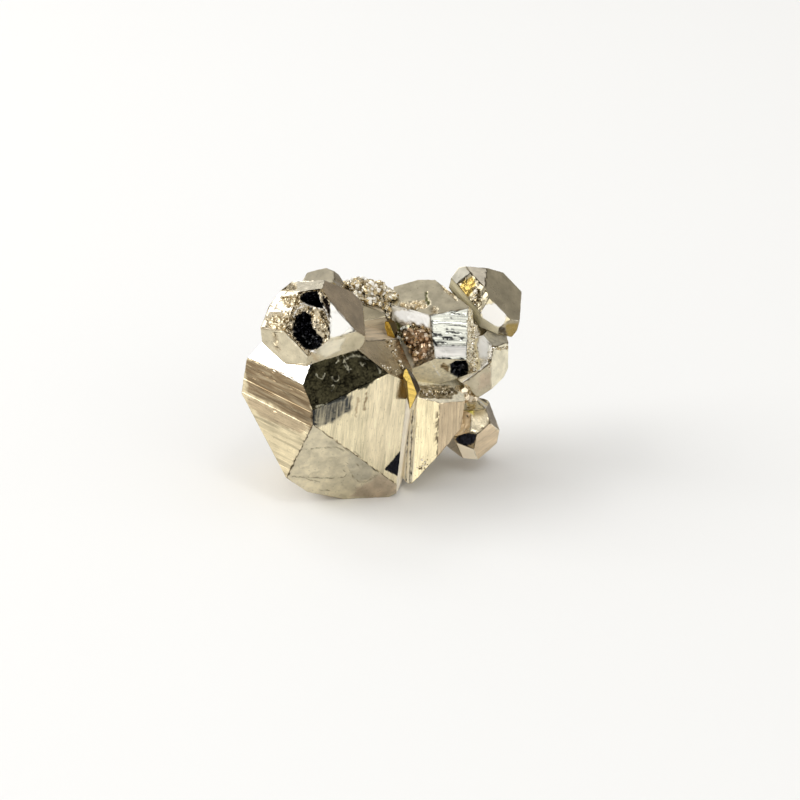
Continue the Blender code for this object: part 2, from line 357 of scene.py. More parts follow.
# plates between striations: widths, rise and lean in degrees from one to the next, riser between them
def stripedFace(look, low, high, dice):
    lines, heights, marks = [low], [0.0], [0.0]
    s, level = low, 0.0
    plateLow, plateHigh = look.get("plate", (0.15, 0.6))
    rise, lean, riser = look.get("rise", 0.03), look.get("lean", 1.5), look.get("riser", 0.05)
    shades, breaks, wave = look.get("shades", 0.25), look.get("breaks", 3.0), look.get("wave", 0.01)

    def line(place, lifted, shade):
        lines.append(place)
        heights.append(lifted)
        marks.append(shade)

    while s < high - 0.1:
        plate = plateLow * (plateHigh / plateLow) ** dice.random()
        tilt = math.tan(math.radians(dice.gauss(0, lean)))
        step = dice.uniform(-rise, rise) - 0.25 * level
        dark = dice.random() ** 2
        tint = dice.uniform(-0.4, 1.0) * shades
        pieces = max(1, int(plate / look.get("fine", 0.3)))
        for n in range(pieces):
            line(s + plate * (n + 1) / pieces, level + plate * tilt * (n + 1) / pieces, tint)
        s += plate
        level += plate * tilt + step
        s += riser * dice.uniform(0.6, 1.6)
        # the riser is darkened by the height of its step: painted shade
        line(s, level, dark * min(1.0, abs(step) / rise * 1.5) + 0.3 * shades)
        s += 0.03
        line(s, level, tint)
    keep = [k for k, place in enumerate(lines) if place < high - 0.01]
    lines, heights, marks = [lines[k] for k in keep], [heights[k] for k in keep], [marks[k] for k in keep]
    line(high, heights[-1], 0.0)
    seed = dice.uniform(0, 50)

    def height(k, s, t, p):
        strength = 0.75 + 0.6 * noise.noise(Vector((lines[k] * 0.9 + seed, t / breaks, 0.5)))
        return heights[k] * strength + wave * ripple(p, 2.5, (seed, 0, 0))

    def mark(k, s, t, p):
        return marks[k] * smooth(-0.3, 0.3, noise.noise(Vector((lines[k] * 3 + seed, t / breaks, 2.5))))
    return lines, look.get("step", 0.4), height, mark


def evenLines(low, high, step):
    count = max(3, int((high - low) / step))
    return [low + (high - low) * k / count for k in range(count + 1)]


def unmarked(k, s, t, p):
    return 0.0


# pits and lumps, with darker blotches
def pittedFace(look, low, high, dice):
    step, seed = look.get("step", 0.14), dice.uniform(0, 50)
    depth, size = look.get("depth", 0.12), look.get("size", 0.8)

    def height(k, s, t, p):
        border, value = cells(p, size, (seed, 0, 0))
        cup = look.get("cups", 0.2) * smooth(0.0, 0.35, border) * value
        lump = 0.5 * ripple(p, 1.7, (0, seed, 0)) + 0.35 * ripple(p, 0.6, (0, 0, seed)) + 0.2 * ripple(p, 0.3)
        return depth * (lump - cup) - depth

    def mark(k, s, t, p):
        border, _ = cells(p, size, (seed, 0, 0))
        patchy = 0.6 * ripple(p, 1.6, (0, seed, 0)) + 0.7 * ripple(p, 0.28) + 0.5 * ripple(p, 0.6)
        blotch = look.get("blotch", 0.15) * smooth(-0.35, 0.6, patchy)
        return look.get("joints", 0.6) * smooth(0.25, 0.05, border) + blotch
    return evenLines(low, high, step), step, height, mark


# low growth terraces that wander down the face
def terracedFace(look, low, high, dice):
    step, seed = look.get("step", 0.16), dice.uniform(0, 50)
    rise, width, slope = look.get("rise", 0.03), look.get("width", 1.6), Vector(look["slope"])

    def terrace(p):
        return (p.dot(slope) / width + 1.1 * ripple(p, 3.2, (seed, 0, 0)) + 0.25 * ripple(p, 0.9)) % 1.0

    def height(k, s, t, p):
        part = terrace(p)
        return 0.02 * ripple(p, 2.5) + rise * (smooth(0.86, 1.0, part) - part) + 0.008 * ripple(p, 0.4)

    def mark(k, s, t, p):
        fade = smooth(-0.1, 0.3, ripple(p, 2.0, (0, seed, 0)))
        return look.get("joints", 0.35) * smooth(0.82, 0.95, terrace(p)) * fade
    return evenLines(low, high, step), step, height, mark


# small cavities and raised facets
def vuggyFace(look, low, high, dice):
    step, seed = look.get("step", 0.12), dice.uniform(0, 50)
    size, lumps = look.get("size", 0.8), look.get("lumps", 0.1)

    def height(k, s, t, p):
        border, value = cells(p, size, (seed, 0, 0))
        return lumps * ((value - 0.5) * smooth(0.0, 0.3, border) + 0.7 * ripple(p, 0.9) - 0.6)
    return evenLines(low, high, step), step, height, unmarked


def plainFace(look, low, high, dice):
    step, seed, wave = look.get("step", 0.3), dice.uniform(0, 50), look.get("wave", 0.014)

    def height(k, s, t, p):
        return wave * (ripple(p, 3.4, (seed, 0, 0)) + 0.35 * ripple(p, 1.2, (0, seed, 0)))
    return evenLines(low, high, step), step, height, unmarked


faceLooks = {"striped": stripedFace, "pitted": pittedFace, "terraced": terracedFace, "vuggy": vuggyFace,
             "plain": plainFace}


# a small whole crystal to strew: its corners and faces
def grainShape(corners, size):
    bm = bmesh.new()
    for corner in corners:
        bm.verts.new(Vector(corner) * size)
    bmesh.ops.convex_hull(bm, input=bm.verts[:])
    bmesh.ops.dissolve_limit(bm, angle_limit=0.05, verts=bm.verts[:], edges=bm.edges[:])
    shape = [v.co.copy() for v in bm.verts], [[v.index for v in face.verts] for face in bm.faces]
    bm.free()
    return shape


signs = (1, -1)
cubeCorners = [(x, y, z) for x in signs for y in signs for z in signs]


# corners that lie between the axes, two by two
def pairedCorners(short, long):
    pairs = [(a, b) for a in signs for b in signs]
    return ([(short * a, long * b, 0) for a, b in pairs] + [(long * a, 0, short * b) for a, b in pairs]
            + [(0, short * a, long * b) for a, b in pairs])


# a cube, a pyritohedron and a cube with its corners cut
grainShapes = [
    grainShape(cubeCorners, 0.62),
    grainShape(cubeCorners + pairedCorners(0.75, 1.5), 0.62),
    grainShape(pairedCorners(1, 1), 0.7071),
]
grainLook = {"stretch": (0.7, 1.3), "bright": 0.7, "satinShare": 0.6, "satinRough": (0.68, 0.8),
             "rough": (0.14, 0.3)}


class Surface:
    # points and faces gathered for one mesh, with each point's colour and its place along the striations
    def __init__(self):
        self.points, self.tones, self.streaks, self.faces, self.flats = [], [], [], [], []

    def add(self, p, tone, streak=(0, 0, 0)):
        self.points.append(p)
        self.tones.append(tone)
        self.streaks.append(streak)
        return len(self.points) - 1

    def face(self, corners, flat):
        self.faces.append(corners)
        self.flats.append(flat)

    def grain(self, place, size, dice, palette):
        corners, faces = dice.choice(grainShapes)
        turn = Euler([dice.uniform(0, 6.3) for _ in range(3)]).to_matrix()
        stretch = Vector((dice.uniform(*grainLook["stretch"]), dice.uniform(*grainLook["stretch"]), 1))
        tone = dice.choice(palette)
        # near-white grains made dull: painted glints
        satinSheen = min(tone) > grainLook["bright"] and dice.random() < grainLook["satinShare"]
        rough = dice.uniform(*grainLook["satinRough" if satinSheen else "rough"])
        first = len(self.points)
        for corner in corners:
            q = turn @ Vector(a * b for a, b in zip(corner, stretch))
            self.add(place + q * size * 0.5, (*tone, rough), (q.x * 0.06, q.y, first * 1.7))
        for face in faces:
            self.face([first + index for index in face], True)

    def finish(self, name, sharp=24):
        mesh = bpy.data.meshes.new(name + "_surface")
        mesh.from_pydata([p * mm for p in self.points], [], self.faces)
        for face, flat in zip(mesh.polygons, self.flats):
            face.use_smooth = not flat
        mesh.set_sharp_from_angle(angle=math.radians(sharp))
        streak = mesh.attributes.new("streak", "FLOAT_VECTOR", "POINT")
        streak.data.foreach_set("vector", [x for line in self.streaks for x in line])
        tones = mesh.attributes.new("tone", "FLOAT_COLOR", "POINT")
        tones.data.foreach_set("color", [x for tone in self.tones for x in tone])
        piece = bpy.data.objects.new(name + "_shape", mesh)
        bpy.context.scene.collection.objects.link(piece)
        mesh.materials.append(pyriteFinish(name))
        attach(piece, "root")
        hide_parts(name)
        print("built", name, len(mesh.polygons), "faces")


# triangles between a face's worn rim and the sheet inside it
def band(surface, outer, inner, turn):
    def spread(loop):
        turns = [turn(index) for index in loop]
        start = turns.index(min(turns))
        loop, turns = loop[start:] + loop[:start], turns[start:] + turns[:start]
        for k in range(1, len(turns)):
            while turns[k] < turns[k - 1] - math.pi:
                turns[k] += 2 * math.pi
        return loop + loop[:1], turns + [turns[0] + 2 * math.pi]
    outer, outerTurns = spread(outer)
    inner, innerTurns = spread(inner)
    i = j = 0
    while i < len(outer) - 1 or j < len(inner) - 1:
        if j == len(inner) - 1 or (i < len(outer) - 1 and outerTurns[i + 1] <= innerTurns[j + 1]):
            surface.face([outer[i], outer[i + 1], inner[j]], False)
            i += 1
        else:
            surface.face([outer[i], inner[j + 1], inner[j]], False)
            j += 1


def chooseLook(crystal, normal, number):
    best, look = match["look"], None
    for listed in crystal["faces"]:
        close = normal.dot(compass(*listed["at"]))
        if close > best:
            best, look = close, listed
    return look or crystal["others"][number % len(crystal["others"])]


# the painted lines along the edges of one face, each named by the two faces that meet in it: dark ones
# painted dark edge reflections, light ones painted edge highlights
def seamsOf(crystal, number, faces, corners):
    loop, normal = faces[number]
    found = []
    for i, j in zip(loop, loop[1:] + loop[:1]):
        for other, (there, beside) in enumerate(faces):
            if other == number or i not in there or j not in there:
                continue
            for paintKind, reach, one, two in crystal.get("seams", ()):
                one, two = compass(*one), compass(*two)
                fit = max(min(normal.dot(one), beside.dot(two)), min(normal.dot(two), beside.dot(one)))
                if fit > match["seam"]:
                    found.append((paintKind, reach, [corners[i], corners[j]]))
    return found


# how the shared edges of a crystal are worn, how their rims are darkened in patches as painted shade, and
# how the metal's grain lies on its faces
edgeLook = {"step": 0.25, "pull": 0.6, "fine": 0.6, "byFine": 0.8, "broad": 2.2, "darkest": 0.45,
            "patches": 1.1}
grainLie = {"anyWay": (0.31, 0.52, 0.79), "soft": 0.06, "apart": 11.3}


def buildCrystal(name, crystal):
    known = ([Vector(p) for p in crystal.get("corners", ())]
             or [v.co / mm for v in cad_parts[name].data.vertices])
    centre = sum(known, Vector()) / len(known)
    corners, faces = cutBlock(cornerPlanes(known) if "corners" in crystal else crystalPlanes(name), centre)
    dice = random.Random(crystal["seed"])
    surface = Surface()
    cornerIndex, edgeIndex = {}, {}

    def wornPlace(p):
        wear = crystal["wear"]
        pull = (centre - p).normalized() * wear * edgeLook["pull"]
        fine = noise.noise_vector(p / edgeLook["fine"]) * wear * edgeLook["byFine"]
        return p + pull + fine + noise.noise_vector(p / edgeLook["broad"]) * wear

    def edgePath(i, j):
        for k in (i, j):
            if k not in cornerIndex:
                cornerIndex[k] = surface.add(wornPlace(corners[k]), None)
        key = (min(i, j), max(i, j))
        if key not in edgeIndex:
            a, b = corners[key[0]], corners[key[1]]
            count = max(1, int((b - a).length / edgeLook["step"]))
            edgeIndex[key] = [surface.add(wornPlace(a.lerp(b, k / count)), None) for k in range(1, count)]
        between = edgeIndex[key] if i < j else edgeIndex[key][::-1]
        return [cornerIndex[i]] + between

    for number, (loop, normal) in enumerate(faces):
        look = chooseLook(crystal, normal, number)
        other = compass(*look["edgeWith"]) if "edgeWith" in look else Vector(grainLie["anyWay"])
        along = normal.cross(other).normalized()
        across = along.cross(normal).normalized()
        base = corners[loop[0]]
        seams = seamsOf(crystal, number, faces, corners)
        marks = marksOn(crystal, seams, normal, normal.dot(base), base, across, along)
        tone, rough = look.get("tone", crystal["tone"]), look.get("rough", crystal["rough"])
        striped = look["look"] == "striped"
        softer = 1.0 if striped else grainLie["soft"]

        def flat(p):
            return (p - base).dot(across), (p - base).dot(along)

        rim = [index for i, j in zip(loop, loop[1:] + loop[:1]) for index in edgePath(i, j)]
        for index in rim:
            if surface.tones[index] is None:
                p = surface.points[index]
                s, t = flat(p)
                _, colour, roughness = markedPoint(marks, s, t, p, tone, rough)
                # painted shade: the rim's colour darkened in patches
                paintedRimShade = 1 - edgeLook["darkest"] * smooth(-0.25, 0.35, ripple(p, edgeLook["patches"]))
                surface.tones[index] = (*(x * paintedRimShade for x in colour), roughness)
                surface.streaks[index] = (s * softer, t, number * grainLie["apart"])
        inset = insetOf([flat(corners[i]) for i in loop], crystal.get("rim", 0.1))
        if len(inset) < 3 or max(s for s, t in inset) - min(s for s, t in inset) < 0.25:
            surface.face(rim, True)
            continue
        low, high = min(s for s, t in inset) + 0.02, max(s for s, t in inset) - 0.02
        lines, step, height, mark = faceLooks[look["look"]](look, low, high, dice)
        spans = spansOf(lines, inset)
        rows = max(1, int(max(top - bottom for bottom, top in spans) / step))
        sheet = []
        for k, (s, (bottom, top)) in enumerate(zip(lines, spans)):
            row = []
            for j in range(rows + 1):
                t = bottom + (top - bottom) * j / rows
                p = base + across * s + along * t
                lift, colour, roughness = markedPoint(marks, s, t, p, tone, rough)
                # darker by the mark: painted shade on striation risers, the face's own joints and blotches
                # elsewhere
                groove = 1 - 0.7 * mark(k, s, t, p)
                place = p + normal * (lift + height(k, s, t, p))
                streak = (s * softer, t, number * grainLie["apart"])
                row.append(surface.add(place, (*(x * groove for x in colour), roughness), streak))
            sheet.append(row)
        for here, there in zip(sheet, sheet[1:]):
            for j in range(rows):
                surface.face([here[j], there[j], there[j + 1], here[j + 1]], striped)
        inner = [row[0] for row in sheet] + sheet[-1][1:] + [row[-1] for row in reversed(sheet[:-1])]
        inner += list(reversed(sheet[0][1:-1]))
        middle = sum(s for s, t in inset) / len(inset), sum(t for s, t in inset) / len(inset)

        def turn(index):
            s, t = flat(surface.points[index])
            return math.atan2(t - middle[1], s - middle[0])
        band(surface, rim, inner, turn)
    for palette, sizes, count, spread, path in crystal.get("crusts", ()):
        strew(surface, dice, palette, sizes, count, spread, [Vector(p) for p in path])
    surface.finish(name)


# the near-white colours in these palettes are painted glints
palettes = {
    "pale": [(0.86, 0.86, 0.8), (0.62, 0.62, 0.52), (0.74, 0.7, 0.58), (0.3, 0.28, 0.18),
             (0.5, 0.44, 0.32)],
    "stone": [(0.74, 0.64, 0.49), (0.66, 0.57, 0.43), (0.8, 0.7, 0.54)],
    "mixed": [(0.85, 0.78, 0.62), (0.62, 0.52, 0.34), (0.42, 0.33, 0.2), (0.95, 0.9, 0.8),
              (0.2, 0.16, 0.09)],
    "brown": [(0.46, 0.3, 0.18), (0.38, 0.26, 0.16), (0.54, 0.4, 0.27), (0.22, 0.15, 0.09),
              (0.74, 0.62, 0.48)],
    "sparkle": [(0.97, 0.94, 0.86), (0.9, 0.84, 0.7), (0.8, 0.71, 0.52), (0.46, 0.37, 0.22),
                (0.94, 0.92, 0.86), (0.7, 0.58, 0.36)],
}


# grains strewn along a path, within the given spread of it
def strew(surface, dice, palette, sizes, count, spread, path):
    lengths = [(b - a).length for a, b in zip(path, path[1:])]
    for _ in range(count):
        place = dice.uniform(0, sum(lengths))
        for a, b, length in zip(path, path[1:], lengths):
            if place <= length:
                break
            place -= length
        p = a.lerp(b, min(1, place / length)) + Vector(dice.gauss(0, spread / 2) for _ in range(3))
        surface.grain(p, dice.uniform(*sizes), dice, palettes[palette])


# a patch of many small grains over a node's own surface
def buildDruse(name, look):
    dice = random.Random(look["seed"])
    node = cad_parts[name].data
    surface = Surface()
    move = Vector(look["move"])
    for v in node.vertices:
        surface.add(v.co / mm - v.normal * look["sunk"] + move, (*look["tone"], look["rough"]))
    areas = [polygon.area / mm ** 2 for polygon in node.polygons]
    for polygon in node.polygons:
        surface.face(list(polygon.vertices), True)
    smallest, largest = look["sizes"]
    for _ in range(int(sum(areas) * look["perArea"])):
        polygon = dice.choices(node.polygons, areas)[0]
        a, b, c = [node.vertices[i].co / mm for i in list(polygon.vertices)[:3]]
        u, v = dice.random(), dice.random()
        if u + v > 1:
            u, v = 1 - u, 1 - v
        size = smallest * (largest / smallest) ** dice.random()
        place = a + (b - a) * u + (c - a) * v - polygon.normal * look["bedded"] * size
        surface.grain(place + move, size, dice, palettes[look["palette"]])
    surface.finish(name)


# The metal. Its colour and roughness come from the points of the mesh. Scales are per metre, shades are
# shares of that colour, and each range is (from low, from high, to low, to high).
metal = {
    "stretch": (6.0, 0.35, 1.0), "lines": {"Scale": 1.6, "Detail": 5, "Roughness": 0.62},
    "clouds": {"Scale": 300, "Detail": 4, "Roughness": 0.6},
    "grain": {"Scale": 2600, "Detail": 3, "Roughness": 0.6},
    "pores": 1500,
    "cloudShade": (0.3, 0.7, 0.86, 1.06), "lineShade": (0.35, 0.7, 1.08, 0.74),
    "poreShade": (0.06, 0.2, 0.72, 1.0),
    "plain": (0.6, 0.75, 0.0, 1.0),      # rough faces show less of the shades
    "cloudRough": (0.3, 0.7, -0.04, 0.07),
    "metallic": (0.6, 0.8, 1.0, 0.1),    # the dull faces are hardly metal
    "grooves": (0.4, 0.02), "specks": (0.35, 0.01),    # bump strength and height in mm
}


def pyriteFinish(name):
    material = bpy.data.materials.new(name + "_finish")
    material.use_nodes = True
    tree = material.node_tree
    shader = tree.nodes["Principled BSDF"]

    def node(kind, **values):
        made = tree.nodes.new("ShaderNode" + kind)
        for key, value in values.items():
            if hasattr(made, key):
                setattr(made, key, value)
            else:
                made.inputs[key].default_value = value
        return made

    def join(source, output, target, slot):
        tree.links.new(source.outputs[output], target.inputs[slot])

    def ranged(source, output, key):
        made = node("MapRange")
        for slot, value in zip(("From Min", "From Max", "To Min", "To Max"), metal[key]):
            made.inputs[slot].default_value = value
        join(source, output, made, "Value")
        return made

    def math2(operation, one, output, two):
        made = node("Math", operation=operation)
        join(one, output, made, 0)
        join(two, "Result", made, 1)
        return made

    def bump(source, key):
        strength, height = metal[key]
        made = node("Bump", Strength=strength, Distance=height * mm)
        join(source, "Fac", made, "Height")
        return made

    place = node("TexCoord")
    streak = node("Attribute", attribute_name="streak")
    tone = node("Attribute", attribute_name="tone")
    stretched = node("Mapping", Scale=metal["stretch"])
    join(streak, "Vector", stretched, "Vector")
    fineLines = node("TexNoise", **metal["lines"])
    join(stretched, "Vector", fineLines, "Vector")
    clouds = node("TexNoise", **metal["clouds"])
    grain = node("TexNoise", **metal["grain"])
    pores = node("TexVoronoi", Scale=metal["pores"])
    for source in (clouds, grain, pores):
        join(place, "Object", source, "Vector")
    shades = math2("MULTIPLY", ranged(clouds, "Fac", "cloudShade"), "Result",
                   ranged(fineLines, "Fac", "lineShade"))
    shades = math2("MULTIPLY", shades, "Value", ranged(pores, "Distance", "poreShade"))
    kept = node("Mix", B=1.0)
    join(ranged(tone, "Alpha", "plain"), "Result", kept, "Factor")
    join(shades, "Value", kept, "A")
    colour = node("VectorMath", operation="SCALE")
    join(tone, "Color", colour, "Vector")
    join(kept, "Result", colour, "Scale")
    join(colour, "Vector", shader, "Base Color")
    join(math2("ADD", tone, "Alpha", ranged(clouds, "Fac", "cloudRough")), "Value", shader, "Roughness")
    join(ranged(tone, "Alpha", "metallic"), "Result", shader, "Metallic")
    specks = bump(grain, "specks")
    join(bump(fineLines, "grooves"), "Normal", specks, "Normal")
    join(specks, "Normal", shader, "Normal")
    return material


# A crystal's own values. Faces are named by azimuth and elevation, edges by the two faces that meet.
# Seams, areas and lines are (kind of mark, half its width, where), crusts (palette, sizes, how many, spread,
# where).
# what is given to the faces that no look is named for, one after another
hiddenLooks = [
    {"look": "striped", "plate": (0.2, 1.0), "rise": 0.03, "lean": 1.2},
    {"look": "plain", "wave": 0.03},
    {"look": "terraced", "rise": 0.05, "width": 2.0, "slope": (0.5, -0.3, 0.8)},
    {"look": "plain", "wave": 0.02},
    {"look": "pitted", "depth": 0.06, "size": 1.6, "joints": 0.05, "blotch": 0.3},
]

